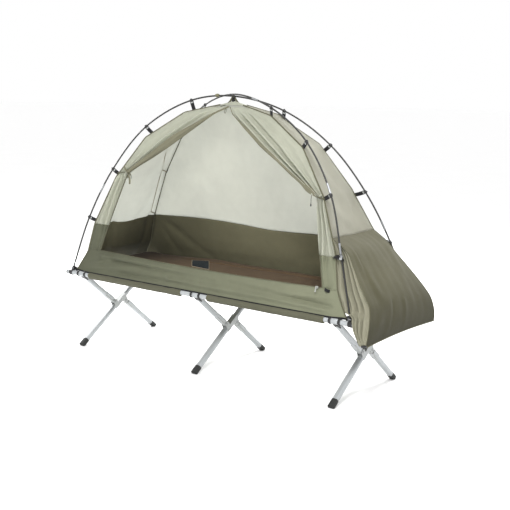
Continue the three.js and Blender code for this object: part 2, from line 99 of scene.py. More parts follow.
def arch(t):
    """0 at 0 and at 1, and 1 half way between."""
    return math.sin(math.pi * t)


def hill(t, top, width):
    """1 at the top, and falling away to 0 on both sides of it."""
    return math.exp(-(((t - top) / width) ** 2))


def read(table, at_):
    """Straight-line reading of a table of (position, value) pairs."""
    return float(np.interp(at_, *zip(*table)))


def around(place, *steps):
    """Points measured from a place."""
    return [place + Vector(step) for step in steps]


def on_line(line, z):
    """The point of a rising line at a height."""
    return Vector([float(np.interp(z, line[:, 2], line[:, k])) for k in range(3)])


def outer_points(nodes, keep, centre):
    """Vertices of CAD sheets that keep(point) picks, on the side away from centre, from low to high."""
    found = {}
    for node in nodes:
        for vertex in frame["nodes"][node].data.vertices:
            if keep(vertex.co):
                found[tuple(round(c, 4) for c in vertex.co)] = vertex.co.copy()
    points = list(found.values())

    def hidden(p):
        reach = (p - centre).length + SHEET * 0.85
        return any((q - p).length < SHEET * 1.1 and (q - centre).length > reach for q in points)

    return np.array(sorted((tuple(p) for p in points if not hidden(p)), key=lambda p: p[2]))


def corner_line(side_x, side_y, *nodes):
    """The corner seam between CAD sheets, which lies in an upright diagonal plane."""

    def keep(p):
        x, y = (p.x - BED_X) * side_x, p.y * side_y
        return x > 0 and abs(y - SLOPE * x) < 0.0015

    return outer_points(nodes, keep, CENTRE)


CORNERS = {
    "front_head": corner_line(-1, -1, "head_wall_lower", "head_wall_upper"),
    "back_head": corner_line(-1, 1, "head_wall_lower", "head_wall_upper"),
    "back_foot": corner_line(1, 1, "back_wall_lower", "back_wall_upper"),
    "front_foot": corner_line(1, -1, "front_skirt", "door_flap_foot", "foot_wall_upper"),
}


# how far the taut cloth pulls the back foot corner in from the straight cut: (height, distance)
PULLED_IN = [(0.60, 0), (0.72, 0.012), (0.80, 0.022), (0.95, 0.036), (1.31, 0.036), (1.376, 0)]


def corner(name, z):
    point = on_line(CORNERS[name], z)
    if name == "back_foot":
        point -= Vector((1, SLOPE, 0)) * read(PULLED_IN, z)
    return point


def front_wall(x, z):
    """The point of the front wall at x from the middle of the bed, and at a height."""
    left, right = corner("front_head", z), corner("front_foot", z)
    return left.lerp(right, (BED_X + x - left.x) / (right.x - left.x))


FRONT_OUT = Vector((0, -0.96, 0.28))  # away from the front wall, as OUT is for the other walls
SILL_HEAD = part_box("door_flap_head")[0].z  # the door's sill slopes down a little to the foot end
SILL_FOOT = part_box("door_flap_foot")[0].z
DOOR_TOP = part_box("door_flap_head")[1].z
TIE_HEAD = at(-0.560, -0.200, 1.000)  # where each half of the door is tied back
TIE_FOOT = at(0.677, -0.220, 0.972)
DOOR_HEAD = [(SILL_HEAD, -0.720), (TIE_HEAD.z, -0.560), (DOOR_TOP, 0.008)]  # (height, x)
DOOR_FOOT = [(SILL_FOOT, 0.740), (TIE_FOOT.z, 0.677), (DOOR_TOP, 0.012)]


SILL_START, SILL_RUN = -0.81, 1.636  # the sill along X, from the middle of the bed
SILL_DROP, SILL_SAG = 0.004, 0.012


def sill(x):
    """The door's sill, whose cloth sags a little between its ends."""
    along = (x - SILL_START) / SILL_RUN
    return lerp(SILL_HEAD, SILL_FOOT, along) - SILL_DROP - SILL_SAG * arch(clamp(along))


def spaced(points, count):
    """The same line as `count` points at equal distances."""
    steps = np.concatenate([[0], np.cumsum([(b - a).length for a, b in zip(points, points[1:])])])
    marks = np.linspace(0, steps[-1], count)
    return [Vector(p) for p in zip(*(np.interp(marks, steps, [p[k] for p in points]) for k in range(3)))]


def curve_point(points, at_):
    """The point of a Catmull-Rom curve at a position from 0 to the last point's index."""
    i = min(len(points) - 2, int(at_))
    t = at_ - i
    b, c = points[i], points[i + 1]
    a = points[i - 1] if i else b * 2 - c
    d = points[i + 2] if i + 2 < len(points) else c * 2 - b
    slope = (c - a) * t + (2 * a - 5 * b + 4 * c - d) * t * t
    return 0.5 * (2 * b + slope + (3 * b - a - 3 * c + d) * t**3)


def spline(points, count):
    """Evenly spaced points of a smooth curve through the given ones."""
    points = [Vector(p) for p in points]
    marks = np.linspace(0, len(points) - 1, 16 * len(points))
    return spaced([curve_point(points, float(mark)) for mark in marks], count)


def line_length(points):
    return sum((b - a).length for a, b in zip(points, points[1:]))


# --- camera, light and floor ---


CAMERA_PLACE = (3.0476, -3.9134, 1.4720)
CAMERA_TURNS = ((36.4615, "Z"), (90 - 10.0954, "X"), (1.0453, "Z"))  # degrees: round, up from straight down, roll
SENSOR_WIDTH, FOCAL_LENGTH = 36, 66.78


def add_object(name, data):
    thing = bpy.data.objects.new(name, data)
    bpy.context.scene.collection.objects.link(thing)
    return thing


def add_camera():
    data = bpy.data.cameras.new("camera")
    data.sensor_width = SENSOR_WIDTH
    data.lens = FOCAL_LENGTH
    camera = add_object("camera", data)
    camera.location = at(*CAMERA_PLACE)
    matrix = Matrix.Identity(3)
    for degrees, axis in CAMERA_TURNS:
        matrix = matrix @ Matrix.Rotation(math.radians(degrees), 3, axis)
    camera.rotation_euler = matrix.to_euler()
    bpy.context.scene.camera = camera


def add_lamp(name, place, size, watts):
    data = bpy.data.lights.new(name, "AREA")
    data.size = size
    data.energy = watts
    lamp = add_object(name, data)
    lamp.location = at(*place)
    lamp.rotation_euler = (lamp.location - CENTRE).to_track_quat("Z", "Y").to_euler()


def add_world():
    world = bpy.data.worlds.new("studio")
    world.use_nodes = True
    back = world.node_tree.nodes["Background"]
    back.inputs["Color"].default_value = (1, 1, 1, 1)
    back.inputs["Strength"].default_value = 1.0
    bpy.context.scene.world = world
    bpy.context.scene.view_settings.view_transform = "Standard"


add_camera()
add_world()
add_lamp("key_behind", (0.6, 3.6, 3.2), 2.5, 170)
add_lamp("fill_foot_end", (1.9, -2.3, 2.9), 0.8, 85)
add_lamp("glow_head_end", (-3.0, 0.9, 1.7), 1.4, 125)

# --- materials ---


MATERIALS = {}  # the finished ones, by name


class Shader:
    """A small builder for node materials."""

    def __init__(self, name):
        self.name = name
        self.material = bpy.data.materials.new(name)
        self.material.use_nodes = True
        self.nodes = self.material.node_tree.nodes
        self.links = self.material.node_tree.links
        self.nodes.clear()

    def add(self, kind, sockets=(), **settings):
        node = self.nodes.new(kind)
        for key, value in settings.items():
            setattr(node, key, value)
        for key, value in dict(sockets).items():
            if isinstance(value, bpy.types.NodeSocket):
                self.links.new(value, node.inputs[key])
            else:
                node.inputs[key].default_value = value
        return node

    def coords(self, kind="Object", stretch=(1, 1, 1)):
        source = self.add("ShaderNodeTexCoord").outputs[kind]
        mapping = self.add("ShaderNodeMapping", {"Vector": source, "Scale": stretch})
        return mapping.outputs["Vector"]

    def noise(self, scale, detail=4.0, rough=0.55, stretch=(1, 1, 1)):
        sockets = {"Vector": self.coords(stretch=stretch), "Scale": scale, "Detail": detail, "Roughness": rough}
        return self.add("ShaderNodeTexNoise", sockets).outputs["Fac"]

    def lines(self, period, axis, sharp):
        """Thin lines across the cloth's own UV, a period apart, in metres."""
        scale = 2 * math.pi / 20 / period
        wave = self.add("ShaderNodeTexWave", {"Vector": self.coords("UV"), "Scale": scale}, bands_direction=axis)
        return self.math("POWER", wave.outputs["Fac"], sharp)

    def math(self, kind, a, b):
        return self.add("ShaderNodeMath", {0: a, 1: b}, operation=kind).outputs["Value"]

    def colours(self, factor, stops):
        """A colour ramp through (position, colour) stops."""
        node = self.add("ShaderNodeValToRGB", {"Fac": factor})
        elements = node.color_ramp.elements
        elements[0].position = stops[0][0]
        elements[1].position = stops[-1][0]
        for position, _ in stops[1:-1]:
            elements.new(position)
        for element, (_, colour) in zip(elements, stops):
            element.color = (*colour, 1)
        return node.outputs["Color"]

    def mapped(self, value, low, high, first, last):
        sockets = {"Value": value, "From Min": low, "From Max": high, "To Min": first, "To Max": last}
        return self.add("ShaderNodeMapRange", sockets).outputs["Result"]

    def levels(self, factor, first, last):
        return self.mapped(factor, 0.3, 0.7, first, last)

    def faded(self, colour, axis, *span):
        """The colour times a share that changes between two places along an axis."""
        share = self.mapped(self.add("ShaderNodeSeparateXYZ", {"Vector": self.coords()}).outputs[axis], *span)
        scaled = self.add("ShaderNodeVectorMath", {"Vector": colour, "Scale": share}, operation="SCALE")
        return scaled.outputs["Vector"]

    def bump(self, height, strength, distance, under=None):
        sockets = {"Height": height, "Strength": strength, "Distance": distance}
        if under:
            sockets["Normal"] = under
        return self.add("ShaderNodeBump", sockets).outputs["Normal"]

    def finish(self, shader):
        self.add("ShaderNodeOutputMaterial", {"Surface": shader.outputs[0]})
        MATERIALS[self.name] = self.material
        return self.material


def shade(colour, factor):
    return tuple(c * factor for c in colour)


RIPSTOP = 0.006  # between the thick threads of tent cloth


def cloth_material(name, colour, through=0.0, glow=None, weave=0.0011, ripstop=0.0, rough=0.8, crumpled=0.3,
                   painted_shading=()):
    """Woven cloth: plain weave, ripstop threads, mottling, crumple, and the share of light that comes through.

    Each fade (axis, from, to, share, share) is painted light and shade: it scales a panel's colour from one share to
    the other along one axis, darker where shade falls.
    """
    s = Shader(name)
    height = s.math("ADD", s.lines(weave, "X", 1.0), s.lines(weave, "Y", 1.0))
    if ripstop:
        grid = s.math("MAXIMUM", s.lines(ripstop, "X", 16.0), s.lines(ripstop, "Y", 16.0))
        height = s.math("ADD", height, s.math("MULTIPLY", grid, 1.5))
    crumple = s.noise(24, 6, 0.62)
    tone = s.math("ADD", s.math("MULTIPLY", s.noise(3.1, 3, 0.5), 0.6), s.math("MULTIPLY", crumple, 0.4))
    base = s.colours(tone, [(0.3, shade(colour, 0.9)), (0.5, colour), (0.72, shade(colour, 1.08))])
    # painted light and shade: each fade darkens or lightens the colour along one axis
    for fade in painted_shading:
        base = s.faded(base, *fade)
    normal = s.bump(crumple, crumpled, 0.004, s.bump(height, 0.15, 0.0003))
    sockets = {"Base Color": base, "Normal": normal, "Roughness": rough, "Sheen Weight": 0.04,
               "Sheen Roughness": 0.5, "Specular IOR Level": 0.12}
    body = s.add("ShaderNodeBsdfPrincipled", sockets)
    if not through:
        return s.finish(body)
    shine = s.colours(tone, [(0.3, shade(glow, 0.94)), (0.72, shade(glow, 1.04))])
    light = s.add("ShaderNodeBsdfTranslucent", {"Color": shine, "Normal": normal})
    return s.finish(s.add("ShaderNodeMixShader", {0: through, 1: body.outputs[0], 2: light.outputs[0]}))


def metal_material(name, colour, rough, grain, stretch=(1, 1, 1), metallic=1.0):
    """Drawn or cast metal with fine lines or grain, faint smudges and dulled spots."""
    s = Shader(name)
    lines = s.noise(grain, 3, 0.6, stretch)
    smudge = s.noise(9, 4, 0.6)
    mixed = s.math("ADD", s.math("MULTIPLY", lines, 0.5), s.math("MULTIPLY", smudge, 0.5))
    sockets = {
        "Metallic": metallic,
        "Base Color": s.colours(smudge, [(0.3, shade(colour, 0.88)), (0.7, colour)]),
        "Roughness": s.levels(mixed, rough * 0.75, rough * 1.35),
        "Normal": s.bump(lines, 0.12, 0.0003),
    }
    return s.finish(s.add("ShaderNodeBsdfPrincipled", sockets))


def plastic_material(name, colour, rough, grain=700, strength=0.12):
    """Moulded plastic or rubber: fine pebbling, slight colour change, and scuffed, lighter patches."""
    s = Shader(name)
    scuff = s.noise(34, 6, 0.7)
    stops = [(0.35, shade(colour, 0.8)), (0.58, colour), (0.8, shade(colour, 1.7))]
    sockets = {
        "Base Color": s.colours(scuff, stops),
        "Roughness": s.levels(scuff, rough * 0.8, rough * 1.2),
        "Normal": s.bump(s.noise(grain, 2, 0.5), strength, 0.0004),
    }
    return s.finish(s.add("ShaderNodeBsdfPrincipled", sockets))


cloth_material("light_cloth", (0.40, 0.385, 0.315), 0.55, (0.755, 0.77, 0.735), ripstop=RIPSTOP, crumpled=0.1)
cloth_material("flap_cloth", (0.455, 0.46, 0.385), 0.42, (0.865, 0.885, 0.805), ripstop=RIPSTOP)
# painted shade: the rolled door edge is the door's light cloth made darker and less see-through for the shade in the
# roll; the head tie's tails use it too
cloth_material("roll_cloth_painted_shade", (0.185, 0.178, 0.122), 0.12, (0.35, 0.34, 0.26), ripstop=RIPSTOP)
# painted shade: olive_cloth darkens towards the head end and the bottom, and head_cloth, the same cloth, darkens
# towards the back corner and the bottom
cloth_material("olive_cloth", (0.180, 0.170, 0.106), 0.05, (0.20, 0.19, 0.12), ripstop=RIPSTOP,
               painted_shading=[(0, -0.85, 0.1, 0.46, 1.0), (2, 0.46, 0.62, 0.80, 1.06)])
cloth_material("head_cloth", (0.180, 0.170, 0.106), 0.05, (0.20, 0.19, 0.12), ripstop=RIPSTOP,
               painted_shading=[(1, -0.24, 0.16, 0.86, 0.38), (2, 0.46, 0.64, 0.50, 1.08)])
# painted shade: the hood darkens towards its hem
cloth_material("hood_cloth", (0.095, 0.090, 0.055), 0.05, (0.14, 0.13, 0.08), ripstop=RIPSTOP, crumpled=0.2,
               painted_shading=[(2, 0.33, 0.62, 0.42, 1.0)])
# painted light and shade: the skirt, and the door below the tub's seam, go from darker at the head end to lighter at
# the foot end
cloth_material("skirt_cloth", (0.142, 0.148, 0.100), 0.06, (0.20, 0.20, 0.14), ripstop=RIPSTOP,
               painted_shading=[(0, -0.85, 0.80, 0.70, 1.38)])
cloth_material("gusset_cloth", (0.30, 0.29, 0.215), 0.2, (0.43, 0.42, 0.32), ripstop=RIPSTOP)
cloth_material("binding", (0.105, 0.102, 0.066), weave=0.0016)
# tape: the pad pocket's rim, and the brown of the painted pole shadow on the head wall
cloth_material("tape_and_pole_shadow", (0.36, 0.31, 0.22), 0.2, (0.4, 0.35, 0.25), weave=0.0016)
cloth_material("sling_cloth", (0.100, 0.099, 0.068), weave=0.002)
# painted shadow: the pad darkens towards its head end, which lies in the tent's shade
cloth_material("pad_cloth", (0.102, 0.068, 0.041), weave=0.0024, painted_shading=[(0, -0.78, -0.30, 0.28, 1.0)])
cloth_material("pocket_cloth", (0.010, 0.016, 0.020), weave=0.002)
cloth_material("webbing", (0.014, 0.014, 0.015), weave=0.003, rough=0.6)
metal_material("aluminium", (0.44, 0.46, 0.47), 0.5, 60, (0.3, 9, 9), metallic=0.3)
metal_material("cast_fitting", (0.40, 0.415, 0.41), 0.5, 240, metallic=0.3)
metal_material("ferrule", (0.30, 0.31, 0.32), 0.35, 120, metallic=0.8)
plastic_material("black_plastic", (0.014, 0.014, 0.014), 0.45)
plastic_material("rubber", (0.022, 0.023, 0.022), 0.8, 420, 0.3)
plastic_material("pole", (0.020, 0.020, 0.019), 0.5, 300, 0.05)
plastic_material("zip", (0.34, 0.35, 0.32), 0.4)

# --- meshes ---


def mesh_piece(name, vertices, faces, material, edges=(), uvs=None):
    mesh = bpy.data.meshes.new(name)
    mesh.from_pydata([tuple(v) for v in vertices], list(edges), faces)
    if uvs:
        layer = mesh.uv_layers.new(name="cloth")
        for loop in mesh.loops:
            layer.data[loop.index].uv = uvs[loop.vertex_index]
    mesh.polygons.foreach_set("use_smooth", [True] * len(mesh.polygons))
    mesh.materials.append(MATERIALS[material])
    return add_object(name, mesh)


def apply_modifiers(piece):
    bpy.context.view_layer.update()
    mesh = bpy.data.meshes.new_from_object(piece.evaluated_get(bpy.context.evaluated_depsgraph_get()))
    piece.modifiers.clear()
    piece.data = mesh


def merge(name, parts):
    """Joins meshes, with their materials, into one piece."""
    for part in parts:
        if part.modifiers:
            apply_modifiers(part)
    bpy.ops.object.select_all(action="DESELECT")
    for part in parts:
        part.select_set(True)
    bpy.context.view_layer.objects.active = parts[0]
    bpy.ops.object.join()
    parts[0].name = name
    return parts[0]


def quads(across, up, columns, rows):
    """Faces on a grid of points, which closes round where it has as many columns or rows as points."""
    return [
        (j * across + i, j * across + (i + 1) % across,
         (j + 1) % up * across + (i + 1) % across, (j + 1) % up * across + i)
        for j in range(rows) for i in range(columns)
    ]


def grid_piece(name, place, columns, rows, material, thickness=0.0012, round_=False):
    """A sheet from place(u, v), with UVs in metres, and its cut size as (width, length)."""
    span = columns if round_ else columns + 1
    grid = [[place(i / columns, j / rows) for i in range(span)] for j in range(rows + 1)]
    width = max(line_length(row) for row in grid[:: max(1, rows // 4)])
    length = max(line_length([row[i] for row in grid]) for i in range(0, span, max(1, columns // 4)))
    vertices = [point for row in grid for point in row]
    uvs = [(i / columns * width, j / rows * length) for j in range(rows + 1) for i in range(span)]
    piece = mesh_piece(name, vertices, quads(span, rows + 1, columns, rows), material, uvs=uvs)
    if thickness:
        solid = piece.modifiers.new("thickness", "SOLIDIFY")
        solid.thickness = thickness
        solid.offset = 0
    return piece, (width, length)


def ring_sweep(name, points, ring, material):
    """A closed form along points; ring(t) gives the (side, up) offsets of its section there."""
    vertices = []
    for i, point in enumerate(points):
        ahead = (points[min(i + 1, len(points) - 1)] - points[max(i - 1, 0)]).normalized()
        side = ahead.cross(UP)
        side = side.normalized() if side.length > 0.001 else Vector((1, 0, 0))
        up = side.cross(ahead)
        offsets = ring(i / (len(points) - 1))
        vertices += [point + side * a + up * b for a, b in offsets]
    n = len(offsets)
    last = (len(points) - 1) * n
    ends = [tuple(reversed(range(n))), tuple(range(last, last + n))]
    return mesh_piece(name, vertices, quads(n, len(points), n, len(points) - 1) + ends, material)


def circle(radius, count=12):
    turns = [2 * math.pi * k / count for k in range(count)]
    return [(radius * math.cos(a), radius * math.sin(a)) for a in turns]


def collar(name, centre, x0, x1, inner, outer, material, chamfer=0.001, sides=36):
    """A ring round a rail, from x0 to x1 beside its centre, with chamfered edges."""
    profile = [(x0, inner), (x0, outer - chamfer), (x0 + chamfer, outer), (x1 - chamfer, outer),
               (x1, outer - chamfer), (x1, inner)]
    vertices = [
        centre + Vector((x, r * math.cos(a), r * math.sin(a)))
        for x, r in profile for a in (2 * math.pi * k / sides for k in range(sides))
    ]
    n = len(profile)
    return mesh_piece(name, vertices, quads(sides, n, sides, n), material)


def block(name, size, matrix, material, bevel=0.0012):
    """A small block with rounded edges, placed by a matrix."""
    work = bmesh.new()
    bmesh.ops.create_cube(work, size=1, matrix=matrix @ Matrix.Diagonal((*size, 1)))
    bmesh.ops.bevel(work, geom=work.edges[:], offset=bevel, segments=2, profile=0.5, affect="EDGES")
    mesh = bpy.data.meshes.new(name)
    work.to_mesh(mesh)
    work.free()
    mesh.materials.append(MATERIALS[material])
    return add_object(name, mesh)


def frame_along(start, end, across):
    """A matrix at the middle of start and end whose X runs between them and whose Z leans to across."""
    x = (end - start).normalized()
    y = across.cross(x).normalized()
    z = x.cross(y)
    matrix = Matrix((x, y, z)).transposed().to_4x4()
    matrix.translation = (start + end) / 2
    return matrix


TUBES = {}


def tube_group(radius, material, sides):
    """Geometry nodes that make a line of edges a round tube, so that it stays round when the line moves."""
    key = (radius, material, sides)
    if key in TUBES:
        return TUBES[key]
    group = bpy.data.node_groups.new(f"tube_{len(TUBES)}", "GeometryNodeTree")
    group.interface.new_socket("Geometry", in_out="INPUT", socket_type="NodeSocketGeometry")
    group.interface.new_socket("Geometry", in_out="OUTPUT", socket_type="NodeSocketGeometry")
    kinds = ("NodeGroupInput", "GeometryNodeMeshToCurve", "GeometryNodeCurveToMesh",
             "GeometryNodeSetMaterial", "GeometryNodeSetShadeSmooth", "NodeGroupOutput")
    chain = [group.nodes.new(kind) for kind in kinds]
    profile = group.nodes.new("GeometryNodeCurvePrimitiveCircle")
    profile.inputs["Resolution"].default_value = sides
    profile.inputs["Radius"].default_value = radius
    chain[2].inputs["Fill Caps"].default_value = True
    chain[3].inputs["Material"].default_value = MATERIALS[material]
    group.links.new(profile.outputs["Curve"], chain[2].inputs["Profile Curve"])
    for a, b in zip(chain, chain[1:]):
        group.links.new(a.outputs[0], b.inputs[0])
    TUBES[key] = group
    return group


def tube(name, points, radius, material, sides=10):
    edges = [(i, i + 1) for i in range(len(points) - 1)]
    piece = mesh_piece(name, points, [], material, edges)
    piece.modifiers.new("tube", "NODES").node_group = tube_group(radius, material, sides)
    return piece


# --- riding on the frame ---


def fold_squash():
    """How the cloth flattens as the bed folds: the front rail's own way, and what is left of the width."""
    joint = next(j for j in frame["joints"] if j["name"] == "frame_fold")
    pivot = Vector(joint["pos_m"])
    turn = Matrix.Rotation(math.radians(joint["range_deg"][1]), 3, Vector(joint["axis"]))
    travel = turn @ (FRONT_RAIL - pivot) + pivot - FRONT_RAIL
    travel.x = 0
    axis = travel.normalized()
    return axis, 1 - travel.length / (BACK_RAIL - FRONT_RAIL).dot(axis)


SQUASH_AXIS, SQUASH_KEEP = fold_squash()


def dress(piece, replaces=(), body="back_frame", squash=True):
    """Hides the CAD nodes a finished piece replaces and hangs it on its body; a soft piece gets a mesh of its own."""
    if replaces:
        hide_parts(*replaces)
    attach(piece, body)
    if squash:
        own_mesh(piece)
        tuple(SQUASH_AXIS)
    return piece


LEAST_AREA = 0.3  # the smallest share of its cut size that a panel may have left as its own area


def cloth(name, place, columns, rows, material, replaces=()):
    """A panel of the tent's or the bed's cloth; it works out the size it was cut to and its area, but keeps neither.
    """
    piece, size = grid_piece(name, place, columns, rows, material)
    dress(piece, replaces)
    whole = size[0] * size[1]
    area = sum(face.area for face in piece.data.polygons)
    area = min(whole, max(LEAST_AREA * whole, area))
    return piece


# --- folds in cloth ---


def creases(s, z, folds):
    """Height of the folds at a place on a panel. Each fold is (start, end, height, width), and fades."""
    total = 0.0
    for (s0, z0), (s1, z1), height, width in folds:
        run, rise = s1 - s0, z1 - z0
        t = clamp(((s - s0) * run + (z - z0) * rise) / (run * run + rise * rise))
        away = math.hypot(s - s0 - t * run, z - z0 - t * rise)
        total += height * hill(away, 0, width) * (1 - 0.7 * t)
    return total


def crumple(point, amount, size):
    """Irregular soft unevenness."""
    return amount * (noise.noise(point / size) + 0.5 * noise.noise(point / size * 2.3))


# --- tent walls ---

# the corner seams that each wall runs between, and the way it faces
SIDES = {"back": ("back_foot", "back_head"), "head": ("back_head", "front_head"), "foot": ("front_foot", "back_foot")}
OUT = {"back": Vector((0, 0.96, 0.28)), "head": Vector((-0.88, 0, 0.48)), "foot": Vector((0.88, 0, 0.48))}

# folds pull away from the corners and from the loops that hang on the poles: start, end, height, width
WALL_FOLDS = {
    "back": [((-0.74, 0.70), (-0.35, 0.50), 0.011, 0.020), ((-0.74, 0.66), (-0.55, 0.45), 0.010, 0.015),
             ((0.74, 0.71), (0.20, 0.52), 0.008, 0.04), ((-0.70, 0.46), (0.50, 0.48), -0.006, 0.03),
             ((-0.49, 1.15), (-0.20, 0.80), 0.005, 0.05), ((0.48, 1.16), (0.25, 0.80), 0.005, 0.05),
             ((0.64, 0.94), (0.30, 0.72), 0.006, 0.05)],
    "head": [((-0.20, 0.98), (0.02, 0.72), 0.006, 0.03), ((0.20, 0.98), (0.05, 0.60), 0.007, 0.03),
             ((-0.20, 0.71), (-0.14, 0.45), 0.013, 0.018), ((0.20, 0.71), (0.17, 0.46), 0.012, 0.016),
             ((0.15, 1.15), (0.02, 0.90), 0.005, 0.03), ((-0.10, 0.70), (-0.06, 0.46), 0.010, 0.016)],
    "foot": [((-0.17, 1.19), (0.08, 0.90), 0.014, 0.035), ((-0.22, 0.96), (0.10, 0.80), 0.0126, 0.03),
             ((-0.17, 1.17), (-0.12, 0.82), -0.0112, 0.03), ((0.15, 1.16), (0.02, 0.88), 0.0084, 0.04),
             ((0.20, 0.94), (-0.02, 0.79), -0.0098, 0.035), ((-0.10, 1.33), (0.06, 1.10), 0.0098, 0.03)],
}


def wall_place(side, low, high):
    """place(u, v) of a wall panel from one corner seam to the other, between two heights along it."""
    first, second = SIDES[side]

    def place(u, v):
        z = lerp(low(u), high(u), v)
        point = corner(first, z).lerp(corner(second, z), u)
        s = point.x - BED_X if side == "back" else point.y
        inside = min(1.0, 9 * u, 9 * (1 - u)) * ramp(WALL_TOP - z, 0, 0.08)
        belly = -0.012 * arch(u) * arch(min(1, (z - WALL_FOOT) / 0.9))
        height = belly + creases(s, z, WALL_FOLDS[side]) + crumple(point, 0.0022, 0.11)
        return point + OUT[side] * height * inside

    return place


def tub_line(u):
    """The seam between the light cloth and the dark band, which sags a little in the middle."""
    return TUB_TOP - 0.007 * arch(u) + 0.003 * math.sin(3 * math.pi * u)


def back_line(u):
    """The same seam on the back wall, which is sewn a little higher near both ends."""
    near_head = arch(clamp((u - 0.45) / 0.55))
    return TUB_TOP + 0.012 * (1 - ramp(u, 0.08, 0.45)) + 0.018 * near_head


def pouch_line(u):
    """The seam over the foot pouch, a little higher at the front than at the back."""
    return POUCH_TOP + 0.014 * (1 - ramp(u, -0.1, 0.7)) + 0.005 * arch(u)


def level(z):
    """A straight seam, for wall_place."""
    return lambda u: z


def add_walls():
    panels = [
        ("back", level(WALL_FOOT), back_line, "olive_cloth", "lower", 90, 26),
        ("back", back_line, level(WALL_TOP), "light_cloth", "upper", 90, 60),
        ("head", level(WALL_FOOT), tub_line, "head_cloth", "lower", 40, 26),
        ("head", tub_line, level(WALL_TOP), "light_cloth", "upper", 40, 60),
        ("foot", pouch_line, level(WALL_TOP), "light_cloth", "upper", 48, 60),
    ]
    for side, low, high, material, part, columns, rows in panels:
        node = f"{side}_wall_{part}"
        cloth(f"{node}_cloth", wall_place(side, low, high), columns, rows, material, [node])
    for side, line in (("back", back_line), ("head", tub_line), ("foot", pouch_line)):
        place = wall_place(side, line, line)
        points = [place(i / 60, 0) for i in range(61)]
        dress(tube(f"{side}_band_seam", points, 0.0014, "binding"))


def add_crown():
    """The small roof that rises from the four walls to the tie under the poles' crossing."""
    ring = [corner(name, WALL_TOP) for name in ("front_head", "front_foot", "back_foot", "back_head")]
    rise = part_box("crown_tie")[0].z - WALL_TOP + 0.004

    def place(u, v):
        point = ring[0].lerp(ring[1], u).lerp(ring[3].lerp(ring[2], u), v)
        away = max(abs(2 * u - 1), abs(2 * v - 1))
        point.z += rise * (1 - away)
        return point

    cloth("tent_crown_cloth", place, 16, 12, "flap_cloth", ["tent_crown"])


def add_corner_bindings():
    for name, line in CORNERS.items():
        points = spaced([corner(name, z) for z in np.linspace(line[0][2], WALL_TOP, 200)], 90)
        dress(tube(f"binding_{name}", points, 0.0036, "binding"))


# painted shadow of the back head pole and its clips, seen through the head wall beside its back corner: (height,
# distance from the corner)
POLE_SHADOW = [(0.730, 0.045), (0.990, 0.050), (1.130, 0.095)]


# painted shadow: brown tubes on the inside of the head wall stand for the shadow of the pole and two clips through
# the cloth
def add_painted_pole_shadow():
    def inside(z, away):
        first, second = corner("back_head", z), corner("front_head", z)
        return first + (second - first).normalized() * away + Vector((0.004, 0, 0))

    side = [inside(z, read(POLE_SHADOW, z)) for z in np.linspace(POLE_SHADOW[0][0], POLE_SHADOW[-1][0], 40)]
    dress(tube("painted_pole_shadow_side", side, 0.0020, "tape_and_pole_shadow"))
    for name, (z, wide) in zip(("bar_low", "bar_high"), POLE_SHADOW):
        bar = [inside(z - 0.016 * t, wide * (1 - t)) for t in (0, 0.25, 0.5, 0.75, 1)]
        dress(tube(f"painted_pole_shadow_{name}", bar, 0.0030, "tape_and_pole_shadow"))


# --- door side ---

SKIRT_FOLDS = [
    ((-0.70, 0.535), (0.10, 0.515), 0.0180, 0.0103), ((-0.62, 0.520), (-0.10, 0.500), -0.0150, 0.0092),
    ((-0.86, 0.450), (-0.40, 0.500), 0.0180, 0.0149), ((-0.70, 0.500), (-0.86, 0.460), 0.0150, 0.0115),
    ((0.82, 0.455), (0.05, 0.475), 0.0195, 0.0103), ((0.80, 0.475), (0.20, 0.505), -0.0150, 0.0115),
    ((0.83, 0.520), (0.45, 0.490), 0.0135, 0.0115), ((-0.20, 0.470), (0.40, 0.455), 0.0150, 0.0103),
    ((-0.55, 0.455), (-0.05, 0.460), -0.0120, 0.0103), ((0.86, 0.440), (0.78, 0.530), 0.0120, 0.0115),
]


def skirt_point(u, v):
    """A point of the cloth below the door, whose hem drapes out over the rail."""
    guess = lerp(corner("front_head", 0.5).x, corner("front_foot", 0.5).x, u) - BED_X
    z = lerp(WALL_FOOT, sill(guess), v)
    point = corner("front_head", z).lerp(corner("front_foot", z), u)
    inside = min(1.0, 12 * u, 12 * (1 - u))
    height = creases(point.x - BED_X, z, SKIRT_FOLDS) * ramp(1 - v, 0, 0.12) * ramp(v, 0.02, 0.2)
    height += crumple(point, 0.0022, 0.08) + 0.006 * arch(v)
    drape = (1 - ramp(v, 0, 0.20)) * ramp(inside, 0, 0.6)
    return point + FRONT_OUT * height * inside + Vector((0, -0.010, -0.004)) * drape


def add_skirt():
    cloth("front_skirt_cloth", skirt_point, 120, 22, "skirt_cloth",
          ["front_skirt"])
    # the hem is partly painted shadow: a thick black tube stands for the hem tape and the dark shadow line between
    # skirt and rail sleeve
    edges = ("sill_binding", 1, 0.0026, "skirt_cloth"), ("skirt_hem_and_shadow_line", 0, 0.0052, "webbing")
    for name, v, radius, material in edges:
        points = [skirt_point(i / 120, v) for i in range(121)]
        dress(tube(name, points, radius, material))
    teeth = [front_wall(x, sill(x) + 0.003) + FRONT_OUT * 0.002 for x in np.linspace(-0.71, 0.735, 90)]
    dress(tube("zip_coil", teeth, 0.0020, "binding"))


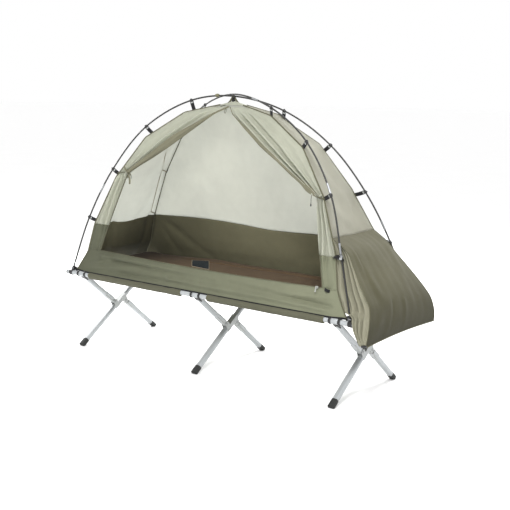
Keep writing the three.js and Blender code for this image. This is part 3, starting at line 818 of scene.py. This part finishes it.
def flap_place(seam, edge, low, high, tie, folds, bunch):
    """place(u, v) of half of the door between two heights, from its corner seam to its open edge."""

    def place(u, v):
        z = lerp(low, high, v)
        x = lerp(corner(seam, z).x - BED_X, read(edge, z), u)
        gathered = hill(z, tie.z, 0.14)
        below = ramp(tie.z - z, 0, 0.05)
        depth = lerp(0.0105, 0.0150, gathered) * lerp(ramp(u, 0.12, 0.7), ramp(u, 0, 0.25), below)
        depth *= ramp(DOOR_TOP - z, 0, 0.06) * (1 - 0.7 * ramp(TUB_TOP - z, 0, 0.07))
        wander = lerp(0.35, 0.9, below) * noise.noise(Vector((3.2 * z, 1.6 * u, 1.7)))
        wave = math.sin(2 * math.pi * (lerp(folds, 2.3, below) * u**bunch + wander))
        sharp = math.copysign(abs(wave) ** 0.75, wave)
        point = front_wall(x, z)
        height = depth * sharp + crumple(point, 0.002, 0.07) * ramp(u, 0, 0.15)
        return point + FRONT_OUT * height

    return place


def roll(name, points, radius, material, twist, bunch):
    """The door's open edge, rolled up loosely: it grows from the top, winds round, and may bunch near the tie."""
    sides = 18

    def ring(t):
        size = radius * (0.22 + 0.78 * ramp(t, 0, 0.5)) * (1 - 0.5 * ramp(t, 0.72, 1))
        size += bunch * hill(t, 0.93, 0.055)
        offsets = []
        for a in (2 * math.pi * k / sides for k in range(sides)):
            r = size * (1 + 0.16 * math.sin(2 * a + twist * t) + 0.15 * math.sin(5 * a - 0.6 * twist * t))
            offsets.append((r * math.cos(a), r * math.sin(a)))
        return offsets

    return ring_sweep(name, points, ring, material)


def door_edge_points(edge, low, high, count, lift):
    """The open edge of half of the door, from the top down, lifted off the wall."""
    return [front_wall(read(edge, z), z) + FRONT_OUT * lift for z in np.linspace(high, low, count)]


def ribbon(name, points, width, across, material, count=14, thickness=0.0012):
    """A narrow band of cloth or webbing along a smooth line."""
    line = spline(points, count)
    side = across.normalized() * width

    def place(u, v):
        return line[round(v * (count - 1))] + side * (u - 0.5)

    return grid_piece(name, place, 2, count - 1, material, thickness)[0]


def tie_band(name, centre, half_width, half_depth, material, lean=0.0):
    """A loop pulled tight round a gathered flap."""
    points = []
    for k in range(25):
        a = 2 * math.pi * k / 24
        x = half_width * math.cos(a)
        points.append(centre + Vector((x, half_depth * math.sin(a), lean * x)))
    return tube(name, points, 0.0030, material)


def add_door():
    """Both halves of the door: light above the tub's seam and dark below, with a rolled and a hemmed edge."""
    halves = [
        ("head", DOOR_HEAD, SILL_HEAD, TIE_HEAD, 3.3, 1.9, 0.0165, 9, 0.011, 0),
        ("foot", DOOR_FOOT, SILL_FOOT, TIE_FOOT, 3.8, 1.6, 0.0085, 12, 0.006, 0.009),
    ]
    for side, edge, low, tie, folds, bunch, radius, twist, lift, knot in halves:
        # the roll's darker cloth is painted shade
        rolled = roll(f"door_roll_{side}", door_edge_points(edge, tie.z, DOOR_TOP, 60, lift), radius,
                      "roll_cloth_painted_shade", twist, knot)
        hem = tube(f"door_hem_{side}", door_edge_points(edge, low, tie.z, 40, 0.001), 0.0022, "binding")
        for piece in (rolled, hem):
            dress(piece)
        seam, node = f"front_{side}", f"door_flap_{side}"
        upper = flap_place(seam, edge, TUB_TOP, DOOR_TOP, tie, folds, bunch)
        lower = flap_place(seam, edge, low - 0.005, TUB_TOP, tie, folds, bunch)
        cloth(f"{node}_cloth", upper, 64, 90, "flap_cloth", [node])
        cloth(f"{node}_foot_cloth", lower, 64, 20, "skirt_cloth", [node])


def add_ties():
    """What ties each half of the door back: a band round it, and the ends of the knot or bow."""
    band = tie_band("tie_band_head", front_wall(-0.596, TIE_HEAD.z), 0.042, 0.013, "binding", 0.15)
    dress(band)
    down = around(TIE_HEAD, (0, 0, 0), (0.012, -0.012, -0.012), (0.022, -0.014, -0.034), (0.020, -0.012, -0.060))
    up = around(TIE_HEAD, (0, 0, 0), (-0.006, -0.014, 0.014), (-0.020, -0.012, 0.034))
    aside = around(TIE_HEAD, (0, 0, 0), (0.014, -0.012, 0.004), (0.028, -0.010, -0.014), (0.030, -0.010, -0.030))
    tails = [
        ribbon("tail_down", down, 0.011, Vector((1, 0.2, 0.2)), "roll_cloth_painted_shade"),
        ribbon("tail_up", up, 0.010, Vector((1, 0, 0.5)), "roll_cloth_painted_shade"),
        ribbon("tail_side", aside, 0.008, Vector((0, 0.5, 1)), "binding"),
    ]
    dress(merge("tie_tails_head", tails))
    band = tie_band("tie_band_foot", front_wall(0.694, TIE_FOOT.z), 0.024, 0.014, "binding", -0.25)
    dress(band)
    left = around(TIE_FOOT, (0, 0, 0), (-0.022, -0.012, 0.010), (-0.044, -0.010, 0.022))
    right = around(TIE_FOOT, (0, 0, 0), (0.014, -0.014, 0.006), (0.028, -0.012, 0.012))
    loops = [
        ribbon("loop_left", left, 0.009, Vector((0.2, 0, 1)), "flap_cloth"),
        ribbon("loop_right", right, 0.007, UP, "flap_cloth"),
    ]
    dress(merge("tie_loops_foot", loops))


CORD_ROUTE = [(0.6528, -0.2212, 0.984), (0.647, -0.2218, 0.9825), (0.642, -0.222, 0.976),
              (0.6405, -0.2225, 0.962), (0.640, -0.2225, 0.945), (0.6395, -0.2225, 0.936)]
CORD_RADIUS = 0.00125


def add_tie_cord():
    """The cord that hangs free at the foot end's tie, and the toggle on its end."""
    points = spline([at(*point) for point in CORD_ROUTE], 24)
    cord = tube("tie_cord", points, CORD_RADIUS, "webbing")
    dress(cord, ["door_tie_cord"])
    low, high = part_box("door_tie_toggle")
    centre = (low + high) / 2
    axis = [Vector((centre.x, centre.y, z)) for z in np.linspace(high.z, low.z, 14)]

    def ring(t):
        return circle(0.0032 * (0.62 + 0.38 * arch(min(1, 0.12 + 0.8 * t))), 14)

    toggle = dress(ring_sweep("tie_toggle", axis, ring, "black_plastic"), ["door_tie_toggle"])
    line_length(points)


# --- foot pouch ---


# the hood's two folds, from its hem up: (x, half width, height); both run on to the seam under the wall
FOLD_FRONT = [(1.020, 0.325, 0.331), (1.026, 0.320, 0.391), (1.028, 0.313, 0.458), (1.022, 0.309, 0.510),
              (0.994, 0.303, 0.556), (0.956, 0.293, 0.614), (0.915, 0.280, 0.683), (0.872, 0.266, 0.742)]
FOLD_BACK = [(1.034, 0.325, 0.335), (1.036, 0.323, 0.372), (1.031, 0.318, 0.414), (1.016, 0.312, 0.458),
             (0.990, 0.305, 0.496), (0.947, 0.293, 0.548), (0.897, 0.276, 0.606), (0.843, 0.254, 0.669),
             (0.795, 0.242, 0.724)]
FOLD_COUNT = 80


def hood_top(u):
    """The seam that the hood is sewn to."""
    return wall_place("foot", pouch_line, pouch_line)(u, 0)


def fold_line(table, side):
    points = [at(x, side * y, z) for x, y, z in table]
    return spline([*points, hood_top(0 if side < 0 else 1)], FOLD_COUNT)


FOLDS = {-1: fold_line(FOLD_FRONT, -1), 1: fold_line(FOLD_BACK, 1)}


def fold_point(side, v):
    return curve_point(FOLDS[side], v * (FOLD_COUNT - 1))


def hood_point(u, v):
    """A point of the hood, which joins the seam under the foot wall at its top."""
    point = fold_point(-1, v).lerp(fold_point(1, v), u)
    crown = 0.018 * arch(u) * arch(min(1.0, v * 1.02)) ** 0.7
    lift = 0.010 * arch(u) * (1 - ramp(v, 0, 0.15))
    point += Vector((0.9, 0, 0.45)) * crown + Vector((0, 0, lift))
    return point.lerp(hood_top(u), ramp(v, 0.86, 1.0))


# where a gusset ends below the corner seam: it passes outside the rail's end, (height, x, half width)
GUSSET_LOW = [(0.331, 0.985, 0.3205), (0.362, 0.966, 0.319), (0.400, 0.945, 0.315), (0.430, 0.936, 0.310),
              (0.452, 0.930, 0.300)]


def gusset_point(side, u, v):
    """A point of a gusset, from the tent's corner or the rail's end to the hood's fold."""
    fold = fold_point(side, v)
    x, y = (read([(row[0], row[k]) for row in GUSSET_LOW], fold.z) for k in (1, 2))
    edge = at(x, side * y, fold.z)
    seam = corner("front_foot" if side < 0 else "back_foot", fold.z)
    edge = edge.lerp(seam, ramp(fold.z, 0.452, 0.466))
    point = edge.lerp(fold, u)
    above = ramp(fold.z, 0.450, 0.480)
    folds = math.sin(2 * math.pi * (4.4 * u + 0.5 * noise.noise(Vector((u, 3 * v, 5))) - 0.8 * v))
    depth = min(0.013, 0.13 * (fold - edge).length) * ramp(v, 0, 0.1) * arch(u) ** 0.5
    tuck = -0.022 * above * arch(u) * ramp(1 - v, 0, 0.25)
    return point + Vector((0, side, 0)) * (tuck + depth * (folds + 1 - above))


# folds of the hood, across and up its own length: start, end, height, width
HOOD_FOLDS = [((0.06, 0.85), (0.09, 0.12), -0.006, 0.020), ((0.13, 0.80), (0.17, 0.35), -0.005, 0.018),
              ((0.34, 0.30), (0.30, 0.02), -0.005, 0.020), ((0.52, 0.28), (0.50, 0.02), 0.005, 0.022),
              ((0, 0.98), (0.30, 0.20), 0.007, 0.05), ((1, 0.95), (0.62, 0.30), 0.009, 0.06),
              ((0, 0.05), (0.35, 0.40), 0.007, 0.06), ((0.1, 0.6), (0.22, 0.02), -0.006, 0.05)]


def add_pouch():
    def hood(u, v):
        point = hood_point(u, v)
        edge = min(1.0, 7 * u, 7 * (1 - u)) * ramp(1 - v, 0, 0.12)
        waves = (2.3 * u + 0.25 * v, 8.2 * u - 0.7 * v)
        stripes = 0.0010 * sum(math.sin(2 * math.pi * wave) for wave in waves)
        pull = creases(u, v, HOOD_FOLDS)
        out = stripes * ramp(v, 0, 0.3) * (1 - 0.5 * v) + pull + crumple(point, 0.0018, 0.09)
        return point + Vector((0.85, 0, 0.5)) * out * edge

    cloth("pouch_hood", hood, 70, 70, "hood_cloth", ["foot_pouch"])
    for name, side in (("front", -1), ("back", 1)):
        cloth(f"pouch_gusset_{name}", lambda u, v: gusset_point(side, u, v), 40, 90, "gusset_cloth",
              [])
        edge = [hood(0 if side < 0 else 1, v) for v in np.linspace(0, 1, 70)]
        dress(tube(f"pouch_seam_{name}", edge, 0.0022, "binding"))
        inner = [gusset_point(side, 0, v) for v in np.linspace(0, 0.6, 60)]
        dress(tube(f"gusset_hem_{name}", inner, 0.0018, "binding"))
    hem = [hood(u, 0) for u in np.linspace(0, 1, 60)]
    dress(tube("pouch_hem", hem, 0.0030, "binding"))


# --- poles and what hangs the tent on them ---


def ring_centres(node, reach=0.012):
    """The centre line of a CAD tube, from its rings of vertices, from the head end over the top."""
    left = list({tuple(round(c, 5) for c in v.co): v.co.copy() for v in frame["nodes"][node].data.vertices}.values())
    centres = []
    while left:
        near = [p for p in left if (p - left[0]).length < reach]
        left = [p for p in left if (p - near[0]).length >= reach]
        centres.append(sum(near, Vector()) / len(near))
    return sorted(centres, key=lambda p: -math.atan2(p.z - WALL_FOOT + 0.1, p.x - BED_X))


POLE_RADIUS = 0.00425
POLES = {name: ring_centres(name) for name in ("pole_a", "pole_b")}
# clips: (pole, end, height on the pole, height on the corner seam)
CLIPS = [
    ("pole_a", "front_head", 0.739, 0.724), ("pole_a", "front_head", 1.014, 0.990),
    ("pole_a", "front_head", 1.250, 1.217), ("pole_a", "front_head", 1.394, 1.344),
    ("pole_a", "back_foot", 1.352, 1.310), ("pole_a", "back_foot", 1.188, 1.159),
    ("pole_a", "back_foot", 0.962, 0.944), ("pole_a", "back_foot", 0.715, 0.729),
    ("pole_b", "front_foot", 0.714, 0.708), ("pole_b", "front_foot", 0.988, 0.966),
    ("pole_b", "front_foot", 1.221, 1.192), ("pole_b", "front_foot", 1.370, 1.331),
    ("pole_b", "back_head", 1.368, 1.330), ("pole_b", "back_head", 1.215, 1.183),
    ("pole_b", "back_head", 1.005, 0.981), ("pole_b", "back_head", 0.736, 0.716),
]
FERRULES = {"front_foot": (1.408, 1.018, 0.750), "front_head": (0.905,), "back_foot": (0.800,),
            "back_head": (1.120, 0.640)}


def pole_half(pole, end):
    """The part of a pole on one side of the crown, as a line that rises."""
    side = 1 if "foot" in end else -1
    half = [p for p in POLES[pole] if (p.x - BED_X) * side > 0.02]
    return np.array(sorted((tuple(p) for p in half), key=lambda p: p[2]))


def heading(line, z):
    """The way a pole runs at a height."""
    return (on_line(line, z + 0.01) - on_line(line, z - 0.01)).normalized()


def add_poles():
    for name, line in POLES.items():
        dress(tube(f"{name}_tube", spline(line, 150), POLE_RADIUS, "pole", 16), [name])
    for pole, end in (("pole_a", "front_head"), ("pole_a", "back_foot"), ("pole_b", "front_foot"),
                      ("pole_b", "back_head")):
        half = pole_half(pole, end)
        for k, z in enumerate(FERRULES[end]):
            points = [on_line(half, z) + heading(half, z) * d for d in (-0.026, -0.009, 0.009, 0.026)]
            dress(tube(f"ferrule_{end}_{k + 1}", points, POLE_RADIUS + 0.0011, "ferrule", 16))


def add_clips():
    """The webbing loops along the poles, each with a hook, a buckle and a stud."""
    straps, hooks = [], []
    for pole, end, high, low in CLIPS:
        half = pole_half(pole, end)
        top, foot = on_line(half, high), corner(end, low)
        ahead = heading(half, high)
        outward = (top - foot).normalized()
        width = 0.020 if (top - foot).length > 0.04 else 0.022
        hang = (foot + top) / 2 + Vector((0, 0, -0.0015))
        straps.append(ribbon("strap", [foot - outward * 0.006, hang, top - outward * 0.006], width, ahead, "webbing",
                             6, 0.0022))
        inner = POLE_RADIUS + 0.0002
        hook = collar("hook", Vector(), -0.008, 0.008, inner, inner + 0.0032, "black_plastic", 0.001, 16)
        seat = frame_along(top - ahead, top + ahead, outward)
        hook.data.transform(seat)
        bar, stud = seat.copy(), seat.copy()
        bar.translation = top - outward * 0.0105
        stud.translation = top + outward * 0.0085
        hooks += [hook, block("buckle", (width * 0.7, 0.0050, 0.0070), bar, "cast_fitting"),
                  block("stud", (0.006, 0.005, 0.004), stud, "black_plastic", 0.0008)]
    dress(merge("clip_straps", straps))
    dress(merge("clip_hooks", hooks))


def add_corner_anchors():
    """The webbing and the ring that hold each tent corner down to its rail end."""
    straps, rings = [], []
    for name in CORNERS:
        foot = corner(name, WALL_FOOT)
        socket = middle(f"pole_socket_{name}")
        end = Vector((socket.x, socket.y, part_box(f"rail_{name}")[1].z + 0.012))
        away = (end - foot).normalized()
        hang = foot.lerp(end, 0.5) + Vector((0, 0, 0.004))
        line = [foot - away * 0.004, hang, end - away * 0.012]
        straps.append(ribbon("strap", line, 0.024, UP, "webbing", 6, 0.002))
        lean = UP.rotation_difference(Vector((math.copysign(0.2, end.x - BED_X), 0, 1)))
        ring = collar("ring", Vector(), -0.0022, 0.0022, 0.0085, 0.0125, "ferrule", 0.0008, 24)
        seat = Matrix.Translation(end) @ lean.to_matrix().to_4x4()
        ring.data.transform(seat @ Matrix.Rotation(math.pi / 2, 4, "Y"))
        rings.append(ring)
    dress(merge("corner_straps", straps))
    dress(merge("corner_rings", rings))


def blocks_at(place, rows):
    """Small blocks (name, size, offset, material, bevel) round a place."""
    return [
        block(name, size, Matrix.Translation(place + Vector(offset)), material, bevel)
        for name, size, offset, material, bevel in rows
    ]


def add_side_buckles():
    """The strap and buckle that pull the front gusset to the pole, and the hook at the pouch's front hem."""
    top = on_line(pole_half("pole_b", "front_foot"), 0.714)
    parts = blocks_at(top, [
        ("plate", (0.022, 0.007, 0.015), (-0.004, -0.008, -0.006), "black_plastic", 0.002),
        ("bar", (0.014, 0.004, 0.010), (0.004, -0.012, -0.006), "cast_fitting", 0.0012),
        ("loop", (0.012, 0.006, 0.014), (0.008, -0.012, 0.004), "ferrule", 0.002),
    ])
    start = corner("front_foot", 0.700) + Vector((-0.012, -0.004, 0.004))
    round_pole = around(top, (-0.016, -0.010, 0), (0.010, -0.010, -0.004), (0.014, 0.002, -0.018))
    strap = ribbon("strap", [start, *round_pole], 0.011, UP, "webbing", 12, 0.002)
    dress(merge("gusset_buckle", [*parts, strap]))
    hook = blocks_at(fold_point(-1, 0) + Vector((-0.006, 0, 0.004)), [
        ("hook_plate", (0.020, 0.012, 0.012), (0, 0, 0), "black_plastic", 0.003),
        ("hook_tip", (0.010, 0.008, 0.010), (-0.012, 0, -0.002), "black_plastic", 0.002),
    ])
    dress(merge("pouch_hook", hook))


def add_crown_fittings():
    """What hangs the roof from the crossing of the poles: a tie, a strap, a wrapped keeper and a loop."""
    low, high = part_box("crown_tie")
    centre = (low + high) / 2
    axis = [Vector((centre.x, centre.y, z)) for z in np.linspace(low.z, high.z, 10)]

    def knot(t):
        return circle(0.0085 * (1 - 0.15 * t) * (1 + 0.12 * math.sin(9 * t)), 20)

    dress(ring_sweep("crown_knot", axis, knot, "webbing"), ["crown_tie"])
    crossing = min(POLES["pole_a"], key=lambda p: abs(p.x - BED_X))
    straps = [
        ribbon("strap", [at(x, y, 1.386), at(x * 0.5, y * 0.5, 1.402), at(0, 0, crossing.z + 0.004)], 0.012,
               Vector((1, 1, 0)), "binding", 8, 0.002)
        for x, y in ((-0.024, -0.010), (0.024, 0.010))
    ]
    dress(merge("crown_strap", straps))
    near = [p for p in spline(pole_half("pole_a", "front_head"), 200) if -0.100 < p.x - BED_X < -0.022]

    def wrap(t):
        size = 0.0088 * (0.75 + 0.25 * arch(t)) * (1 + 0.06 * math.sin(40 * t))
        return [(x * (1 + 0.08 * math.sin(3 * k + 20 * t)), y + 0.002) for k, (x, y) in enumerate(circle(size, 16))]

    dress(ring_sweep("crown_keeper", near, wrap, "olive_cloth"))
    top = front_wall(-0.004, DOOR_TOP - 0.010) + FRONT_OUT * 0.006
    drop = around(top, (0, 0, 0), (-0.005, -0.004, -0.014), (0.001, -0.006, -0.024), (0.006, -0.004, -0.012),
                  (0.004, 0, 0))
    dress(tube("apex_loop", spline(drop, 20), 0.0013, "binding", 8))


# --- bed ---


# each rail: its name, its middle, its body, and which way is out across the bed
RAILS = (("front", FRONT_RAIL, "front_frame", -1), ("back", BACK_RAIL, "back_frame", 1))


def rail_collar(name, rail, x0, x1, thickness, material, chamfer=0.001, gap=0.0003):
    """A thin collar round a rail between two places along it."""
    centre = Vector((0, rail.y, rail.z))
    return collar(name, centre, x0, x1, RAIL_RADIUS + gap, RAIL_RADIUS + thickness, material, chamfer)


CUFF = 0.012  # length of the band at a sleeve's end


def add_sling():
    """The bed's cloth: one sheet between the rails, and sleeves sewn round them between the leg clamps."""
    low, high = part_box("bed_sling")
    top = BACK_RAIL.z + RAIL_RADIUS + 0.0022
    spans = {"head": (low.x, BED_X - 0.098), "foot": (BED_X + 0.078, high.x)}

    def bed(u, v):
        x = lerp(low.x, high.x, u)
        y = lerp(FRONT_RAIL.y, BACK_RAIL.y, v)
        dip = 0.010 * arch(v) + crumple(Vector((x, y, 3)), 0.0012, 0.2)
        inset = 0.030 * ramp(0.09 - abs(x - BED_X), 0, 0.02)
        y = lerp(FRONT_RAIL.y + inset, BACK_RAIL.y - inset, v)
        return Vector((x, y, top - dip * arch(v)))

    cloth("bed_sling_cloth", bed, 120, 30, "sling_cloth", ["bed_sling"])
    for side, rail, body, outward in RAILS:
        for end, (x0, x1) in spans.items():
            def sleeve(u, v):
                a = 2 * math.pi * u
                x = lerp(x0, x1, v)
                uneven = noise.noise(Vector((18 * x, 2.0 * math.cos(a), 2.0 * math.sin(a))))
                loose = 0.0007 * math.sin(3 * a + 14 * v) + 0.0010 * uneven
                r = RAIL_RADIUS + 0.0022 + abs(loose) + 0.005 * hill(u, 0.72, 0.035)
                return Vector((x, rail.y - outward * r * math.cos(a), rail.z + r * math.sin(a)))

            piece, _ = grid_piece(f"rail_sleeve_{side}_{end}", sleeve, 28, 90, "sling_cloth", 0.001, round_=True)
            dress(piece, body=body, squash=False)
            cuffs = [rail_collar("cuff", rail, x, x + CUFF, 0.0036, "binding", gap=0.0004) for x in (x0, x1 - CUFF)]
            dress(merge(f"rail_cuffs_{side}_{end}", cuffs), body=body, squash=False)


PAD_INSET = 0.012  # what the slab is smaller than the CAD's pad
PAD_CORNER = 0.055  # radius of its corners
PAD_VOXEL = 0.009
PAD_STEPS = 20  # of the simulation that blows it up
PAD_FARTHEST = 0.009  # how far that may move a point


def pad_slab(low, high):
    """A slab with round corners, as an even mesh."""
    work = bmesh.new()
    size = [side - PAD_INSET for side in high - low]
    body = Matrix.Translation((low + high) / 2) @ Matrix.Diagonal((*size, 1))
    bmesh.ops.create_cube(work, size=1, matrix=body)
    upright = [e for e in work.edges if abs(e.verts[0].co.z - e.verts[1].co.z) > 0.01]
    bmesh.ops.bevel(work, geom=upright, offset=PAD_CORNER, segments=5, profile=0.5, affect="EDGES")
    mesh = bpy.data.meshes.new("sleeping_pad_cover")
    work.to_mesh(mesh)
    work.free()
    pad = add_object("sleeping_pad_cover", mesh)
    remesh = pad.modifiers.new("remesh", "REMESH")
    remesh.mode = "VOXEL"
    remesh.voxel_size = PAD_VOXEL
    apply_modifiers(pad)
    return pad


def blow_up(pad):
    """Simulates the pad's cover as cloth under pressure."""
    scene = bpy.context.scene
    scene.frame_start, scene.frame_end = 1, PAD_STEPS
    sim = pad.modifiers.new("sim", "CLOTH")
    sim.settings.use_pressure = True
    sim.settings.uniform_pressure_force = 4
    sim.settings.effector_weights.gravity = 0
    sim.point_cache.frame_start, sim.point_cache.frame_end = 1, PAD_STEPS
    for step in range(1, PAD_STEPS + 1):
        scene.frame_set(step)
    apply_modifiers(pad)
    scene.frame_set(1)


def pad_rise(p):
    """How far the pad's top stands above the slab: its crown, and one long crease that runs a little askew."""
    s = p.x - BED_X
    across = p.y - 0.05 * s
    crease = 0.007 * hill(across, 0.160, 0.022) - 0.016 * hill(across, 0.130, 0.014)
    crown = 0.013 * ramp(0.70 - abs(s + 0.02), 0, 0.45) + 0.004 * hill(s, -0.27, 0.10)
    return crease * ramp(0.55 - abs(s - 0.05), 0, 0.25) + crown + crumple(p, 0.0012, 0.09)


def add_pad():
    """The sleeping pad: a slab blown up as cloth, with a long crease and a pocket."""
    low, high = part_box("sleeping_pad")
    centre = (low + high) / 2
    pad = pad_slab(low, high)
    before = [v.co.copy() for v in pad.data.vertices]
    blow_up(pad)
    for vertex, rest in zip(pad.data.vertices, before):
        move = vertex.co - rest
        if move.length > PAD_FARTHEST:
            vertex.co = rest + move * (PAD_FARTHEST / move.length)
        p = vertex.co
        if p.z > centre.z:
            p.z += pad_rise(p)
        p.y *= 1.045
        p.z = min(high.z + 0.014, max(low.z, p.z))
    pad.data.polygons.foreach_set("use_smooth", [True] * len(pad.data.polygons))
    pad.data.materials.clear()
    pad.data.materials.append(MATERIALS["pad_cloth"])
    dress(pad, ["sleeping_pad"])

    corners = [at(*point, high.z + 0.015)
               for point in ((-0.246, -0.034), (-0.113, -0.049), (-0.362, 0.103), (-0.272, 0.144))]

    def pocket(u, v):
        bulge = 0.004 * (arch(u) * arch(v)) ** 0.5
        return corners[0].lerp(corners[1], u).lerp(corners[2].lerp(corners[3], u), v) + Vector((0, 0, bulge))

    piece, _ = grid_piece("pad_pocket", pocket, 16, 12, "pocket_cloth", 0.002)
    rim = [pocket(*corner_) for corner_ in ((0, 0), (1, 0), (1, 1), (0, 1), (0, 0))]
    dress(piece)
    dress(tube("pad_pocket_rim", spaced(rim, 60), 0.0016, "tape_and_pole_shadow"))


# --- legs and rails ---


LEG_SWELL = 0.0044  # how far the corners of a leg tube move out, at 45 degrees: it looks 6 mm thicker
WELD_REACH = 0.00002
SHARP_EDGE = math.radians(40)


def restyle(node, material, bevel=0.0, swell=0.0):
    """A CAD piece that stays gets its finish, merged and softened edges, smooth round faces and a thicker look."""
    piece = frame["nodes"][node]
    piece.data.materials.clear()
    piece.data.materials.append(MATERIALS[material])
    if "custom_normal" in piece.data.attributes:
        piece.data.attributes.remove(piece.data.attributes["custom_normal"])
    piece.data.polygons.foreach_set("use_smooth", [True] * len(piece.data.polygons))
    piece.modifiers.new("weld", "WELD").merge_threshold = WELD_REACH
    if swell:
        thicker = piece.modifiers.new("thicker", "DISPLACE")
        thicker.mid_level = 0
        thicker.strength = swell
    if bevel:
        edge = piece.modifiers.new("edge", "BEVEL")
        edge.width = bevel
        edge.segments = 2
        edge.angle_limit = SHARP_EDGE
        edge.harden_normals = True
    else:
        piece.modifiers.new("split", "EDGE_SPLIT").split_angle = SHARP_EDGE


def add_clamps():
    """Each rail clamp: two black collars with a bright saddle between them, and the leg's socket."""
    for end in ("head", "mid", "foot"):
        for side, rail, body, outward in RAILS:
            node = f"rail_clamp_{side}_{end}"
            x = middle(node).x
            centre = Vector((x, rail.y, rail.z))
            down = Vector((0, -outward * 0.290, -0.201)).normalized()
            socket = frame_along(centre + down * 0.014, centre + down * 0.044, Vector((1, 0, 0)))
            parts = [
                rail_collar("saddle", rail, x - 0.0195, x + 0.0195, 0.0018, "aluminium"),
                rail_collar("black_1", rail, x - 0.032, x - 0.019, 0.0040, "black_plastic", 0.0015),
                rail_collar("black_2", rail, x + 0.019, x + 0.032, 0.0040, "black_plastic", 0.0015),
                block("socket", (0.035, 0.0305, 0.0306), socket, "black_plastic", 0.003),
            ]
            dress(merge(f"clamp_{side}_{end}", parts), [node], body, squash=False)


def restyle_frame():
    for node in frame["nodes"]:
        if node.startswith("rail_clamp"):
            continue
        if node.startswith(("rail_cap", "pole_socket")):
            restyle(node, "black_plastic", 0.0008)
        elif node.startswith("rail_"):
            restyle(node, "aluminium")
        elif "half_leg" in node or node.startswith("straight_leg"):
            restyle(node, "aluminium", swell=LEG_SWELL)
        elif "bracket" in node or "hinge_block" in node:
            restyle(node, "cast_fitting", 0.0012)
        elif node.startswith("foot_") and node != "foot_pouch" and "wall" not in node:
            restyle(node, "rubber", 0.0015)


def add_zip_slider():
    """The door zip's slider and its long pull, and the black loop that the zip ends in."""
    low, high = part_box("zip_slider")
    lean = math.atan2(FRONT_OUT.z, -FRONT_OUT.y)  # the wall's own, so that nothing dips into the cloth on the way
    seat = Matrix.Translation(((low.x + high.x) / 2, low.y + 0.003, high.z)) @ Matrix.Rotation(-lean, 4, "X")
    parts = [
        block("slider", (0.015, 0.0055, 0.012), seat @ Matrix.Translation((0, 0, -0.008)), "zip", 0.0016),
        block("bridge", (0.006, 0.0080, 0.008), seat @ Matrix.Translation((0, -0.0045, -0.009)), "zip", 0.0012),
        block("pull", (0.0070, 0.0024, 0.020), seat @ Matrix.Translation((0, -0.0075, -0.022)), "zip", 0.0010),
    ]
    dress(merge("zip_pull", parts), ["zip_slider"], "zip_slider")
    end = front_wall(0.770, sill(0.770)) + FRONT_OUT * 0.006
    line = around(end, (-0.012, 0, -0.002), (0.002, -0.006, -0.006), (0.014, 0.002, -0.010))
    dress(ribbon("zip_garage", line, 0.015, Vector((0.2, 0, 1)), "webbing", 10, 0.0025))


def add_floor():
    bpy.ops.mesh.primitive_circle_add(vertices=96, radius=70, fill_type="NGON")
    floor = bpy.context.object
    floor.name = "studio_floor"
    s = Shader("floor")
    tone = s.colours(s.noise(2.0, 4, 0.5), [(0.3, (0.985, 0.985, 0.985)), (0.7, (0.997, 0.997, 0.997))])
    body = s.add("ShaderNodeBsdfPrincipled", {"Base Color": tone, "Roughness": 0.9})
    floor.data.materials.append(s.finish(body))


for build in (add_floor, add_tie_cord, add_poles, add_walls, add_crown, add_corner_bindings, add_painted_pole_shadow,
              add_skirt, add_door, add_ties, add_pouch, add_clips, add_corner_anchors, add_side_buckles,
              add_crown_fittings, add_sling, add_pad, add_clamps, add_zip_slider, restyle_frame):
    build()
